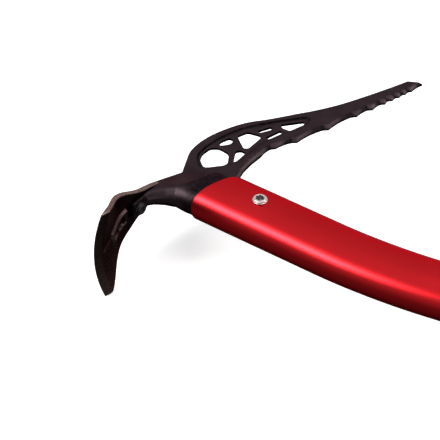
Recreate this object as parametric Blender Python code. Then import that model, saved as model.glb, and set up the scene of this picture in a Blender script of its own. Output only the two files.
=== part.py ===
"""Technical ice axe with an adze.

Forged black head with a latticed pick, a bolted-on adze, curved oval alloy shaft,
rubber grip, sliding finger rest with a cam lever, folding hand rest and a spike.
Sizes are in millimetres inside this script and become metres when a mesh is made.
x runs along the upper shaft toward the spike, y points the way the pick points,
z points up out of the side of the axe. The head bolt is the zero of the sizes;
at the end everything is moved so that the axe stands on z = 0, centred.
"""
import math

import bmesh
import bpy
from mathutils import Matrix, Vector

for old in list(bpy.data.objects):
    bpy.data.objects.remove(old, do_unlink=True)

MM = 0.001

# ---------------------------------------------------------------- sizes (mm)
SHAFT_HALF_DEPTH = 15.5      # half of the oval, pick side to adze side
SHAFT_HALF_WIDTH = 11.0      # half of the oval, side to side
SHAFT_WALL = 1.6
OVAL_POWER = 2.5             # 2 is an ellipse, larger is squarer
BEND_START = 40.0            # straight from the head to here
BEND_RADIUS = 330.0
BEND_ANGLE = math.radians(18.0)
BEND_END = BEND_START + BEND_RADIUS * BEND_ANGLE
CUT_MIDDLE = -26.4           # slanted end of the shaft at the head
CUT_SLOPE = 0.35
NECK = 9.4                   # length of the forging's oval neck beside the shaft
SHAFT_END = 389.9

PICK_HALF = 1.75             # half thickness of the pick plate
WEB_HALF = 0.9               # half thickness of the latticed web
TANG_HALF_DEPTH = 13.4
TANG_HALF_WIDTH = 8.9
TANG_END = 15.0
SEAT_X = -55.2               # flat seat of the adze
SEAT_STEP_Y = -10.8
TONGUE_END_Y = -34.6
TONGUE_X = -53.3

ADZE_HALF_THICK = 1.6
ADZE_MID_X = -57.1
ADZE_SCREW_Y = -30.0

GRIP_START = 262.0
GRIP_END = 389.6
POMMEL_START = 390.2
POMMEL_END = 428.0
REST_PIN_S = 402.0
REST_PIN_Y = 12.5
SPIKE_BOLT_S = 414.0
SPIKE_BOLT_Y = -3.0
SPIKE_TIP = 458.0
SPIKE_EYE_S = 437.5
SPIKE_EYE_RADIUS = 5.5
ROLL_PIN_S = 380.0
TRIGGER_S = 222.0
TRIGGER_HALF = 15.0
LEVER_PIN_Y = -21.6


# ---------------------------------------------------------------- materials
def material(name, colour, metallic, roughness):
    made = bpy.data.materials.new(name)
    made.use_nodes = True
    shader = made.node_tree.nodes["Principled BSDF"]
    shader.inputs["Base Color"].default_value = (*colour, 1.0)
    shader.inputs["Metallic"].default_value = metallic
    shader.inputs["Roughness"].default_value = roughness
    made.diffuse_color = (*colour, 1.0)
    return made


RED_ALLOY = material("red_anodised_alloy", (0.46, 0.010, 0.014), 0.85, 0.32)
BLACK_FORGING = material("black_forged_steel", (0.035, 0.028, 0.029), 0.30, 0.42)
BLACK_ADZE = material("black_adze_steel", (0.035, 0.026, 0.027), 0.30, 0.34)
BRIGHT_STEEL = material("bright_steel", (0.62, 0.60, 0.58), 1.0, 0.28)
SPIKE_STEEL = material("brushed_spike_steel", (0.45, 0.45, 0.46), 1.0, 0.36)
BLACK_SCREW = material("black_oxide_steel", (0.05, 0.048, 0.05), 0.8, 0.35)
GRIP_RUBBER = material("grip_rubber", (0.020, 0.020, 0.022), 0.0, 0.80)
BLACK_NYLON = material("black_nylon", (0.028, 0.028, 0.030), 0.0, 0.50)
RED_LEVER = material("lever_red_alloy", (0.42, 0.012, 0.016), 0.85, 0.35)
BRASS = material("brass_pad", (0.62, 0.44, 0.17), 1.0, 0.35)


# ---------------------------------------------------------------- mesh helpers
def make_object(name, points, faces, look, smooth_angle=35.0):
    mesh = bpy.data.meshes.new(name)
    mesh.from_pydata([(x * MM, y * MM, z * MM) for x, y, z in points], [], faces)
    body = bmesh.new()
    body.from_mesh(mesh)
    bmesh.ops.recalc_face_normals(body, faces=body.faces)
    body.to_mesh(mesh)
    body.free()
    obj = bpy.data.objects.new(name, mesh)
    bpy.context.scene.collection.objects.link(obj)
    if look is not None:
        mesh.materials.append(look)
    shade(obj, smooth_angle)
    return obj


def shade(obj, angle_deg):
    mesh = obj.data
    for polygon in mesh.polygons:
        polygon.use_smooth = angle_deg > 0
    if angle_deg > 0:
        mesh.set_sharp_from_angle(angle=math.radians(angle_deg))


def prism(name, outline, low, high, look=None, smooth_angle=35.0):
    """Straight-sided body over a closed outline of (x, y) points."""
    count = len(outline)
    points = [(x, y, low) for x, y in outline] + [(x, y, high) for x, y in outline]
    faces = [tuple(range(count)), tuple(range(count, 2 * count))]
    for i in range(count):
        j = (i + 1) % count
        faces.append((i, j, count + j, count + i))
    return make_object(name, points, faces, look, smooth_angle)


def loft(name, rings, look=None, smooth_angle=35.0):
    """Closed body through rings that all have the same number of points."""
    count = len(rings[0])
    points = [p for ring in rings for p in ring]
    faces = [tuple(range(count)), tuple(range(len(points) - count, len(points)))]
    for r in range(len(rings) - 1):
        for i in range(count):
            j = (i + 1) % count
            a = r * count
            faces.append((a + i, a + j, a + count + j, a + count + i))
    return make_object(name, points, faces, look, smooth_angle)


def hollow_loft(name, outer, inner, look, smooth_angle=35.0):
    """Open tube: outer and inner rings joined by flat ends."""
    count = len(outer[0])
    layers = len(outer)
    points = [p for ring in outer for p in ring] + [p for ring in inner for p in ring]
    base = layers * count
    faces = []
    for i in range(count):
        j = (i + 1) % count
        for r in range(layers - 1):
            a = r * count
            faces.append((a + i, a + j, a + count + j, a + count + i))
            faces.append((base + a + i, base + a + j, base + a + count + j, base + a + count + i))
        faces.append((i, j, base + j, base + i))
        end = (layers - 1) * count
        faces.append((end + i, end + j, base + end + j, base + end + i))
    return make_object(name, points, faces, look, smooth_angle)


def combine(target, tool, operation, smooth_angle=35.0):
    """Boolean that is applied at once; the tool is deleted."""
    step = target.modifiers.new("combine", "BOOLEAN")
    step.operation = operation
    step.solver = "EXACT"
    step.object = tool
    graph = bpy.context.evaluated_depsgraph_get()
    result = bpy.data.meshes.new_from_object(target.evaluated_get(graph))
    target.modifiers.clear()
    old = target.data
    target.data = result
    bpy.data.meshes.remove(old)
    bpy.data.objects.remove(tool, do_unlink=True)
    body = bmesh.new()
    body.from_mesh(result)
    bmesh.ops.remove_doubles(body, verts=body.verts, dist=0.000004)
    bmesh.ops.dissolve_degenerate(body, edges=body.edges, dist=0.000002)
    bmesh.ops.dissolve_limit(body, angle_limit=0.001, verts=body.verts, edges=body.edges)
    bmesh.ops.triangulate(body, faces=[f for f in body.faces if len(f.verts) > 4])
    bmesh.ops.recalc_face_normals(body, faces=body.faces)
    body.to_mesh(result)
    body.free()
    shade(target, smooth_angle)
    return target


def circle(radius, count, turn=0.0):
    return [(radius * math.cos(turn + 2 * math.pi * i / count),
             radius * math.sin(turn + 2 * math.pi * i / count)) for i in range(count)]


def six_lobe(radius, depth, count=24):
    """Round star outline of a six-lobe socket."""
    ring = []
    for i in range(count):
        angle = 2 * math.pi * i / count
        r = radius - depth * 0.5 * (1 - math.cos(6 * angle))
        ring.append((r * math.cos(angle), r * math.sin(angle)))
    return ring


def disc_stack(name, sections, centre, axis, look, count=24, turn=0.0):
    """Turned body: (height, radius) sections along an axis, 'z' or 'x'."""
    rings = []
    for height, radius in sections:
        ring = []
        for a, b in circle(radius, count, turn):
            if axis == "z":
                ring.append((centre[0] + a, centre[1] + b, height))
            else:
                ring.append((height, centre[1] + a, b))
        rings.append(ring)
    return loft(name, rings, look)


def smooth_step(value):
    value = min(1.0, max(0.0, value))
    return value * value * (3 - 2 * value)


def between(table, at):
    """Read a value from (position, value) pairs ordered by position."""
    if at <= table[0][0]:
        return table[0][1]
    for (p0, v0), (p1, v1) in zip(table, table[1:]):
        if at <= p1:
            return v0 + (v1 - v0) * (at - p0) / (p1 - p0)
    return table[-1][1]


# ---------------------------------------------------------------- shaft line
def shaft_point(s, across=0.0, up=0.0):
    """Point of the axe at distance s along the shaft line."""
    if s <= BEND_START:
        return (s, across, up)
    turn = min(s - BEND_START, BEND_END - BEND_START) / BEND_RADIUS
    x = BEND_START + BEND_RADIUS * math.sin(turn)
    y = BEND_RADIUS * (1 - math.cos(turn))
    rest = max(0.0, s - BEND_END)
    x += rest * math.cos(turn)
    y += rest * math.sin(turn)
    return (x - across * math.sin(turn), y + across * math.cos(turn), up)


def oval(half_depth, half_width, count, power=OVAL_POWER):
    ring = []
    for i in range(count):
        angle = 2 * math.pi * (i + 0.5) / count
        c, s = math.cos(angle), math.sin(angle)
        ring.append((half_depth * math.copysign(abs(c) ** (2 / power), c),
                     half_width * math.copysign(abs(s) ** (2 / power), s)))
    return ring


def shaft_ring(s, half_depth, half_width, count):
    return [shaft_point(s, a, b) for a, b in oval(half_depth, half_width, count)]


def cut_x(across):
    return CUT_MIDDLE + CUT_SLOPE * across


# ---------------------------------------------------------------- shaft tube
SEGMENTS = 40
stations = [-10.0, 12.0, BEND_START]
stations += [BEND_START + (BEND_END - BEND_START) * k / 8 for k in range(1, 9)]
stations += [190.0, 250.0, 320.0, SHAFT_END]


def tube_rings(shrink):
    deep = SHAFT_HALF_DEPTH - shrink
    wide = SHAFT_HALF_WIDTH - shrink
    rings = [[(cut_x(a), a, b) for a, b in oval(deep, wide, SEGMENTS)]]
    rings += [shaft_ring(s, deep, wide, SEGMENTS) for s in stations]
    return rings


shaft = hollow_loft("shaft_tube", tube_rings(0.0), tube_rings(SHAFT_WALL), RED_ALLOY)
combine(shaft, disc_stack("cut", [(-14.0, 3.0), (14.0, 3.0)], (0, 0), "z", None), "DIFFERENCE")
pin_at = shaft_point(ROLL_PIN_S)
combine(shaft, disc_stack("cut", [(-14.0, 1.9), (14.0, 1.9)], pin_at, "z", None, 16), "DIFFERENCE")

# ---------------------------------------------------------------- head forging
PICK_TIP = (4.5, 147.3)
PICK_SPINE = [(-2.9, 143.5), (-7.8, 131.3), (-13.7, 117.8), (-19.6, 105.3), (-24.5, 96.7),
              (-29.4, 89.2), (-34.4, 82.4), (-40.4, 74.0), (-45.4, 67.4), (-49.5, 62.6),
              (-52.9, 57.5), (-55.9, 51.3), (-58.6, 44.2), (-60.5, 36.5), (-61.1, 29.0),
              (-60.3, 21.5), (-57.4, 14.5), (-53.0, 5.0)]
# tooth tips: x, y and depth of the gullet behind each
TEETH = [(3.1, 138.3, 1.2), (1.9, 134.1, 1.2), (0.7, 129.7, 1.5), (-0.6, 125.1, 2.0),
         (-2.0, 120.1, 2.2), (-4.6, 111.6, 2.4), (-8.1, 101.1, 2.4), (-13.6, 82.4, 2.7),
         (-20.7, 63.2, 2.7), (-26.7, 51.8, 2.0)]
EDGE_HALF = 0.75             # half thickness left at the toothed edge
PICK_THROAT = [(-29.0, 43.0), (-29.3, 34.0), (-28.6, 25.5), (-26.9, 19.5), (-26.3, 15.0)]
BODY_BACK = [(-55.0, -1.5), (-57.3, -8.0), (-58.2, SEAT_STEP_Y), (SEAT_X, SEAT_STEP_Y)]
TONGUE = [(SEAT_X, TONGUE_END_Y), (TONGUE_X - 0.4, TONGUE_END_Y), (TONGUE_X, TONGUE_END_Y + 0.8),
          (TONGUE_X, -22.6), (TONGUE_X + 0.5, -22.0)]
# near side of the body, from the adze arm to the shaft: x, y and half thickness there
BODY_UNDER = [(-51.7, -20.0, 2.2), (-50.6, -17.2, 2.8), (-48.9, -14.2, 3.4), (-46.9, -11.9, 3.9),
              (-44.2, -10.5, 4.4), (-41.0, -10.2, 5.3), (-38.2, -11.2, 6.8), (-35.8, -13.0, 8.6)]

outline = [PICK_TIP] + PICK_SPINE + BODY_BACK + TONGUE
outline += [(x, y) for x, y, _ in BODY_UNDER]
outline += [(cut_x(-14.7) - 0.3, -14.7)]
outline += [(cut_x(15.0) - 0.3, 15.0)]
outline += list(reversed(PICK_THROAT[:-1]))
for tip_x, tip_y, depth in reversed(TEETH):
    outline += [(tip_x - depth, tip_y - 0.9 * depth), (tip_x, tip_y)]


def under_limit(x, y):
    """Half thickness allowed by the nearest point of the near side of the body."""
    best = None
    for (x0, y0, h0), (x1, y1, h1) in zip(BODY_UNDER, BODY_UNDER[1:]):
        dx, dy = x1 - x0, y1 - y0
        t = ((x - x0) * dx + (y - y0) * dy) / (dx * dx + dy * dy)
        t = min(1.0, max(0.0, t))
        away = math.hypot(x - x0 - t * dx, y - y0 - t * dy)
        if best is None or away < best[0]:
            best = (away, h0 + (h1 - h0) * t)
    return best[1] + 0.42 * best[0]


def body_half(x, y):
    """Half thickness of the forging: thin plate, rising to the shaft and the arm."""
    from_plate = 0.654 * (x + 52.7) - 0.757 * (y - 4.9)
    if from_plate <= 0.0:
        return PICK_HALF
    neck = NECK * math.sqrt(1.0 - (min(max(y, 0.0), 15.0) / 15.4) ** 2)
    to_shaft = max(0.0, 0.944 * (cut_x(y) - x) - neck)
    rise = from_plate / (from_plate + to_shaft)
    half = PICK_HALF + 7.6 * (0.5 * rise + 0.5 * smooth_step(rise))
    half = min(half, 4.2 + 0.28 * max(0.0, x + 56.0), under_limit(x, y))
    inside = max(0.0, 1.0 - (abs(y) / 15.2) ** OVAL_POWER) ** (1 / OVAL_POWER)
    shoulder = 10.5 * inside + 1.2 * to_shaft
    return max(PICK_HALF, min(half, shoulder))


def grid_lines(low, high, step, extra):
    count = int(round((high - low) / step))
    return [low + (high - low) * k / count for k in range(count + 1)] + extra


xs = grid_lines(-64.0, -20.0, 2.2, [12.0])
ys = grid_lines(-37.0, 24.0, 2.1, [155.0])
top = [(x, y, body_half(x, y)) for x in xs for y in ys]
bottom = [(x, y, -z) for x, y, z in top]
nx, ny = len(xs), len(ys)
half_count = nx * ny
faces = []
for i in range(nx - 1):
    for j in range(ny - 1):
        a, b = i * ny + j, (i + 1) * ny + j
        faces.append((a, b, b + 1))
        faces.append((a, b + 1, a + 1))
        faces.append((half_count + a, half_count + b + 1, half_count + b))
        faces.append((half_count + a, half_count + a + 1, half_count + b + 1))
rim = [j for j in range(ny)] + [i * ny + ny - 1 for i in range(1, nx)]
rim += [(nx - 1) * ny + j for j in range(ny - 2, -1, -1)] + [i * ny for i in range(nx - 2, 0, -1)]
for k, a in enumerate(rim):
    b = rim[(k + 1) % len(rim)]
    faces.append((a, b, half_count + b, half_count + a))
head = make_object("head_pick", top + bottom, faces, BLACK_FORGING, 30.0)
combine(head, prism("cut", outline, -14.0, 14.0), "INTERSECT", 30.0)


def rounded(points, radius, steps=3):
    """Round the corners of an outline with short arcs."""
    result = []
    for i, here in enumerate(points):
        p = Vector(here)
        before = Vector(points[i - 1]) - p
        after = Vector(points[(i + 1) % len(points)]) - p
        reach = min(radius, 0.45 * before.length, 0.45 * after.length)
        start = p + before.normalized() * reach
        end = p + after.normalized() * reach
        for k in range(steps + 1):
            t = k / steps
            q = start * (1 - t) ** 2 + p * (2 * t * (1 - t)) + end * t ** 2
            result.append((q.x, q.y))
    return result


POCKET = [(-46.5, 12.6), (-55.4, 20.5), (-56.4, 30.0), (-55.0, 41.0), (-50.8, 54.0),
          (-44.5, 63.6), (-36.5, 74.0), (-29.0, 82.6), (-26.2, 83.2), (-24.6, 77.0),
          (-27.6, 68.0), (-31.2, 60.0), (-34.2, 50.0), (-34.6, 32.0), (-37.4, 22.5)]
for low, high in ((WEB_HALF, 4.0), (-4.0, -WEB_HALF)):
    combine(head, prism("cut", rounded(POCKET, 4.0), low, high), "DIFFERENCE", 30.0)

WINDOWS = [
    ([(-46.7, 14.9), (-52.8, 19.6), (-55.0, 24.5), (-54.6, 31.6), (-50.7, 34.4), (-43.4, 33.6),
      (-38.8, 26.2), (-39.0, 23.2)], 1.8),
    ([(-37.2, 27.6), (-42.3, 36.8), (-40.3, 39.6), (-36.2, 39.2), (-36.0, 29.8)], 1.2),
    ([(-52.8, 35.8), (-53.6, 39.2), (-51.6, 44.8), (-48.4, 44.6), (-47.0, 40.4), (-50.6, 35.8)], 1.4),
    ([(-39.8, 40.8), (-49.5, 48.0), (-47.1, 54.8), (-39.5, 56.4), (-37.6, 54.2), (-37.5, 42.4)], 1.4),
    ([(-43.2, 58.0), (-41.0, 57.3), (-37.2, 64.0), (-39.4, 65.6)], 1.0),
    ([(-36.2, 55.4), (-33.9, 55.4), (-31.0, 64.6), (-33.4, 65.8)], 1.0),
    ([(-36.9, 70.2), (-34.0, 67.6), (-28.9, 68.0), (-25.8, 77.6), (-28.0, 80.4)], 1.2),
]
for window, radius in WINDOWS:
    combine(head, prism("cut", rounded(window, radius), -5.0, 5.0), "DIFFERENCE", 30.0)


def edge_bevel(start, end, depth):
    """Two wedges that thin the plate along one straight stretch of its toothed edge."""
    a, b = Vector(start), Vector(end)
    along = (b - a).normalized()
    inward = Vector((along.y, -along.x))
    if inward.x > 0:
        inward = -inward
    steep = (PICK_HALF - EDGE_HALF) / depth
    for side in (1, -1):
        rings = []
        for p in (a - along * 0.3, b + along * 0.3):
            q = p + inward * (depth + 0.5)
            r = p - inward * 2.0
            rings.append([(q.x, q.y, side * (PICK_HALF + 0.5 * steep)),
                          (r.x, r.y, side * (EDGE_HALF - 2.0 * steep)),
                          (r.x, r.y, side * 4.0), (q.x, q.y, side * 4.0)])
        combine(head, loft("cut", rings), "DIFFERENCE", 30.0)


previous = PICK_TIP
for tip_x, tip_y, depth in TEETH:
    edge_bevel(previous, (tip_x, tip_y), 1.6 + 0.65 * depth)
    previous = (tip_x, tip_y)

tang_rings = [[(cut_x(a) - 1.6, a, b) for a, b in oval(TANG_HALF_DEPTH, TANG_HALF_WIDTH, 28)]]
for x, shrink in ((-8.0, 0.0), (TANG_END - 2.0, 0.0), (TANG_END, 1.5)):
    tang_rings.append([(x, a, b) for a, b in
                       oval(TANG_HALF_DEPTH - shrink, TANG_HALF_WIDTH - shrink, 28)])
combine(head, loft("tang", tang_rings), "UNION", 30.0)
combine(head, disc_stack("cut", [(-14.0, 3.1), (14.0, 3.1)], (0, 0), "z", None), "DIFFERENCE", 30.0)
combine(head, disc_stack("cut", [(-62.0, 2.4), (-45.0, 2.4)], (0, ADZE_SCREW_Y), "x", None, 20),
        "DIFFERENCE", 30.0)

# ---------------------------------------------------------------- head bolt
def washer(name, centre, low, high, inner, outer, look, count=24):
    rings_out = [[(centre[0] + a, centre[1] + b, z) for a, b in circle(outer, count)]
                 for z in (low, high)]
    rings_in = [[(centre[0] + a, centre[1] + b, z) for a, b in circle(inner, count)]
                for z in (low, high)]
    return hollow_loft(name, rings_out, rings_in, look)


def bolt(name, centre, seat, tip, head_radius, shank_radius, look):
    """Low button bolt whose head stands on z = seat, with a six-lobe socket."""
    sections = [(tip, shank_radius - 0.4), (tip + 0.6, shank_radius), (seat, shank_radius),
                (seat, head_radius), (seat + 0.4, head_radius), (seat + 0.8, head_radius - 0.4),
                (seat + 1.0, head_radius - 0.9)]
    made = disc_stack(name, sections, centre, "z", look)
    socket = [(centre[0] + x, centre[1] + y) for x, y in six_lobe(head_radius * 0.56, 0.35)]
    return combine(made, prism("cut", socket, seat + 0.2, seat + 4.0), "DIFFERENCE")


def sleeve_nut(name, centre, seat, end, head_radius, outer, bore, bore_floor, look):
    """Flanged sleeve that the bolt screws into; its head stands below z = seat."""
    sections = [(seat - 1.0, head_radius - 0.9), (seat - 0.8, head_radius - 0.4),
                (seat - 0.4, head_radius), (seat, head_radius), (seat, outer), (end, outer)]
    made = disc_stack(name, sections, centre, "z", look)
    combine(made, disc_stack("cut", [(bore_floor, bore), (end + 3.0, bore)], centre, "z", None, 20),
            "DIFFERENCE")
    socket = [(centre[0] + x, centre[1] + y) for x, y in six_lobe(head_radius * 0.56, 0.35)]
    return combine(made, prism("cut", socket, seat - 4.0, seat - 0.2), "DIFFERENCE")


washer("head_washer_upper", (0, 0), 11.15, 11.55, 2.2, 3.8, BRIGHT_STEEL)
washer("head_washer_lower", (0, 0), -11.55, -11.15, 2.95, 3.8, BRIGHT_STEEL)
bolt("head_bolt", (0, 0), 11.7, -5.0, 3.4, 1.8, BRIGHT_STEEL)
sleeve_nut("head_sleeve_nut", (0, 0), -11.7, 9.0, 3.4, 2.7, 2.05, -6.0, BRIGHT_STEEL)

# ---------------------------------------------------------------- adze
ADZE_LINE = [(-70.6, -42.7), (-67.0, -43.8), (-63.6, -45.2), (-60.0, -47.2), (-56.5, -49.5),
             (-53.0, -51.7), (-48.0, -54.5), (-44.0, -56.1), (-39.0, ADZE_MID_X),
             (SEAT_STEP_Y, ADZE_MID_X)]
ADZE_WIDTH = [(-70.6, 26.2), (-67.0, 26.3), (-63.6, 25.2), (-60.0, 23.2), (-53.0, 19.3),
              (-47.6, 17.0), (-43.7, 15.4), (-39.0, 13.4), (-35.0, 11.5), (-30.6, 9.2),
              (-25.4, 7.0), (-21.0, 5.5), (-17.0, 4.5), (SEAT_STEP_Y, 3.7)]
ADZE_STATIONS = [-11.1, -15.0, -20.0, -25.0, -30.0, -35.0, -39.0, -43.0, -47.0, -51.0, -55.0,
                 -59.0, -62.0, -65.0, -67.6, -70.6]
ADZE_ARCH = 2.6
EDGE_BULGE = 4.0
ACROSS = 12


def adze_surface(y, k, side):
    """Point of the adze; k runs -1..1 across, side is -1 for the back, 1 for the underside."""
    outward = smooth_step((-y - 38.0) / 30.0)
    half = between(ADZE_WIDTH, y)
    mid = between(ADZE_LINE, y) - ADZE_ARCH * outward * (1 - k * k)
    lead = smooth_step((-y - 52.0) / 19.0)
    thick = ADZE_HALF_THICK
    shift = 0.0
    if y < -67.6:
        taper = (-y - 67.6) / 3.0
        thick = ADZE_HALF_THICK * (1 - 0.75 * taper)
        shift = -ADZE_HALF_THICK * 0.75 * taper
    return (mid + shift + side * thick, y - EDGE_BULGE * lead * (1 - k * k), k * half)


rings = []
for y in ADZE_STATIONS:
    ks = [-1 + 2 * i / ACROSS for i in range(ACROSS + 1)]
    ring = [adze_surface(y, k, -1) for k in ks] + [adze_surface(y, k, 1) for k in reversed(ks)]
    rings.append(ring)
adze = loft("adze", rings, BLACK_ADZE, 38.0)

rib_rings = []
for y, half, tall in ((-37.0, 3.6, 0.8), (-39.5, 4.2, 1.5), (-43.0, 4.4, 1.7), (-47.0, 4.3, 1.7),
                      (-51.0, 4.1, 1.6), (-55.0, 3.6, 1.3), (-58.0, 2.8, 0.7)):
    base, y_at, _ = adze_surface(y, 0.0, 1)
    rib_rings.append([(base - 1.0, y_at, -half - 0.8), (base + tall * 0.6, y_at, -half),
                      (base + tall, y_at, -half + 0.8), (base + tall, y_at, half - 0.8),
                      (base + tall * 0.6, y_at, half), (base - 1.0, y_at, half + 0.8)])
combine(adze, loft("rib", rib_rings), "UNION", 38.0)
for y_from, y_to, half, floor in ((-40.6, -48.4, 2.5, 0.1), (-50.6, -54.6, 2.1, 0.1)):
    near = adze_surface(y_from, 0.0, 1)
    far = adze_surface(y_to, 0.0, 1)
    tool_outline = [(near[0] + floor, near[1]), (near[0] + 6.0, near[1]), (far[0] + 6.0, far[1]),
                    (far[0] + floor, far[1])]
    combine(adze, prism("cut", tool_outline, -half, half), "DIFFERENCE", 38.0)
combine(adze, disc_stack("cut", [(-64.0, 2.4), (-45.0, 2.4)], (0, ADZE_SCREW_Y), "x", None, 20),
        "DIFFERENCE", 38.0)

screw = disc_stack("adze_screw", [(-58.3, 1.6), (-57.9, 2.0), (-52.5, 2.0), (-52.5, 3.1),
                                  (-51.6, 3.1), (-51.0, 2.5)],
                   (0, ADZE_SCREW_Y), "x", BLACK_SCREW)
hexagon = [(-52.2, ADZE_SCREW_Y + a, b) for a, b in circle(1.6, 6)]
hexagon_out = [(-46.0, ADZE_SCREW_Y + a, b) for a, b in circle(1.6, 6)]
combine(screw, loft("cut", [hexagon, hexagon_out]), "DIFFERENCE")
ring_out = [[(x, ADZE_SCREW_Y + a, b) for a, b in circle(3.4, 24)] for x in (-53.1, -52.7)]
ring_in = [[(x, ADZE_SCREW_Y + a, b) for a, b in circle(2.3, 24)] for x in (-53.1, -52.7)]
hollow_loft("adze_washer", ring_out, ring_in, BLACK_SCREW)

# ---------------------------------------------------------------- rubber grip
GRIP_COUNT = 36


def grip_ring(s, shrink):
    """Grip section: swells between the fingers on the pick side."""
    t = (s - GRIP_START) / (GRIP_END - GRIP_START)
    ends = min(1.0, min(t, 1 - t) / 0.05)
    full = 0.45 + 0.55 * math.sin(0.5 * math.pi * ends)
    swell = 0.9 * math.cos(2 * math.pi * 4.0 * t) * ends
    ring = []
    for a, b in oval(SHAFT_HALF_DEPTH + 0.3 + 2.0 * full, SHAFT_HALF_WIDTH + 0.3 + 2.0 * full,
                     GRIP_COUNT):
        if a > 0:
            a += swell * smooth_step(a / 16.0)
        ring.append(shaft_point(s, a, b))
    return ring


grip_stations = [GRIP_START + (GRIP_END - GRIP_START) * t for t in
                 (0.0, 0.012, 0.03, 0.06, 0.1, 0.15, 0.2, 0.25, 0.3, 0.35, 0.4, 0.45, 0.5, 0.55, 0.6,
                  0.65, 0.7, 0.75, 0.8, 0.85, 0.9, 0.94, 0.97, 0.988, 1.0)]
outer = [grip_ring(s, 0.0) for s in grip_stations]
inner = [shaft_ring(s, SHAFT_HALF_DEPTH + 0.25, SHAFT_HALF_WIDTH + 0.25, GRIP_COUNT)
         for s in grip_stations]
hollow_loft("grip_sleeve", outer, inner, GRIP_RUBBER, 40.0)


# ---------------------------------------------------------------- lower end
def low_prism(name, outline_sy, low, high, look=None, smooth_angle=35.0):
    """Prism whose outline is given as (distance along the shaft, across)."""
    flat = [shaft_point(s, y)[:2] for s, y in outline_sy]
    return prism(name, flat, low, high, look, smooth_angle)


POMMEL_SECTIONS = [(POMMEL_START, 17.4, 12.9), (392.0, 18.1, 13.5), (398.0, 18.4, 13.7),
                   (406.0, 17.8, 13.2), (414.0, 16.0, 11.9), (421.0, 13.4, 9.8),
                   (426.5, 11.0, 7.4), (POMMEL_END, 10.0, 6.6)]
pommel = loft("pommel", [shaft_ring(s, a, b, 36) for s, a, b in POMMEL_SECTIONS], BLACK_NYLON, 40.0)
spigot = loft("spigot", [shaft_ring(s, a, b, 28) for s, a, b in
                         ((370.0, 12.2, 7.7), (372.0, 13.4, 8.9), (391.0, 13.4, 8.9))])
combine(pommel, spigot, "UNION", 40.0)
slot = [(395.6, 6.2), (395.6, 26.0), (436.0, 26.0), (436.0, 6.2)]
combine(pommel, low_prism("cut", slot, -5.2, 5.2), "DIFFERENCE", 40.0)
tang_slot = [(403.0, -7.6), (403.0, 4.6), (436.0, 4.6), (436.0, -7.6)]
combine(pommel, low_prism("cut", tang_slot, -2.3, 2.3), "DIFFERENCE", 40.0)
rest_pin_at = shaft_point(REST_PIN_S, REST_PIN_Y)
combine(pommel, disc_stack("cut", [(-20.0, 2.3), (20.0, 2.3)], rest_pin_at, "z", None, 20),
        "DIFFERENCE", 40.0)
spike_bolt_at = shaft_point(SPIKE_BOLT_S, SPIKE_BOLT_Y)
combine(pommel, disc_stack("cut", [(-20.0, 3.4), (20.0, 3.4)], spike_bolt_at, "z", None, 20),
        "DIFFERENCE", 40.0)
for low, high in ((10.2, 20.0), (-20.0, -10.2)):
    combine(pommel, disc_stack("cut", [(low, 4.9), (high, 4.9)], spike_bolt_at, "z", None, 24),
            "DIFFERENCE", 40.0)
combine(pommel, disc_stack("cut", [(-12.0, 1.9), (12.0, 1.9)], pin_at, "z", None, 16),
        "DIFFERENCE", 40.0)

disc_stack("pommel_pin", [(-10.7, 1.3), (-10.4, 1.6), (10.4, 1.6), (10.7, 1.3)], pin_at, "z",
           BRIGHT_STEEL, 16)
bolt("spike_bolt", spike_bolt_at, 10.5, -4.0, 4.2, 1.8, BRIGHT_STEEL)
sleeve_nut("spike_sleeve_nut", spike_bolt_at, -10.5, 8.0, 4.2, 3.1, 2.1, -5.0, BRIGHT_STEEL)

spike_outline = [(404.0, -7.0), (428.6, -7.0), (429.6, -9.6), (438.0, -10.6), (445.0, -8.6),
                 (451.0, -4.6), (457.0, -0.8), (SPIKE_TIP, 0.4), (457.0, 1.4), (450.0, 4.6),
                 (444.0, 7.2), (437.0, 8.6), (430.0, 7.8), (428.6, 4.0), (404.0, 4.0)]
spike = low_prism("spike", spike_outline, -2.0, 2.0, SPIKE_STEEL)
eye_at = shaft_point(SPIKE_EYE_S, -1.0)
combine(spike, disc_stack("cut", [(-4.0, SPIKE_EYE_RADIUS), (4.0, SPIKE_EYE_RADIUS)], eye_at, "z",
                          None, 28), "DIFFERENCE")
combine(spike, disc_stack("cut", [(-4.0, 3.4), (4.0, 3.4)], spike_bolt_at, "z", None, 20),
        "DIFFERENCE")


def set_origin(obj, point):
    """Move an object's origin to a point without moving its mesh."""
    where = Vector((point[0] * MM, point[1] * MM, point[2] * MM))
    obj.data.transform(Matrix.Translation(-where))
    obj.location = where
    return obj


# folding hand rest, drawn folded out; it turns about the rest pin
KNUCKLE = 5.0
rest_outline = []
for k in range(9):
    angle = math.pi * (1.0 + k / 8)
    rest_outline.append((REST_PIN_S + KNUCKLE * math.cos(angle) * 1.0,
                         REST_PIN_Y + KNUCKLE * math.sin(angle)))
rest_outline += [(407.2, 18.0), (408.4, 26.0), (408.0, 34.0), (405.0, 41.0), (399.6, 46.4),
                 (395.2, 48.6), (393.6, 47.2), (396.4, 42.6), (399.8, 36.0), (400.6, 28.0),
                 (398.6, 20.0)]
rest = low_prism("hand_rest", rest_outline, -4.8, 4.8, BLACK_NYLON, 40.0)
combine(rest, disc_stack("cut", [(-8.0, 2.3), (8.0, 2.3)], rest_pin_at, "z", None, 20),
        "DIFFERENCE", 40.0)
set_origin(rest, rest_pin_at)
disc_stack("hand_rest_pin", [(-10.4, 1.7), (-10.1, 2.0), (10.1, 2.0), (10.4, 1.7)], rest_pin_at,
           "z", BRIGHT_STEEL, 20)

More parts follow.
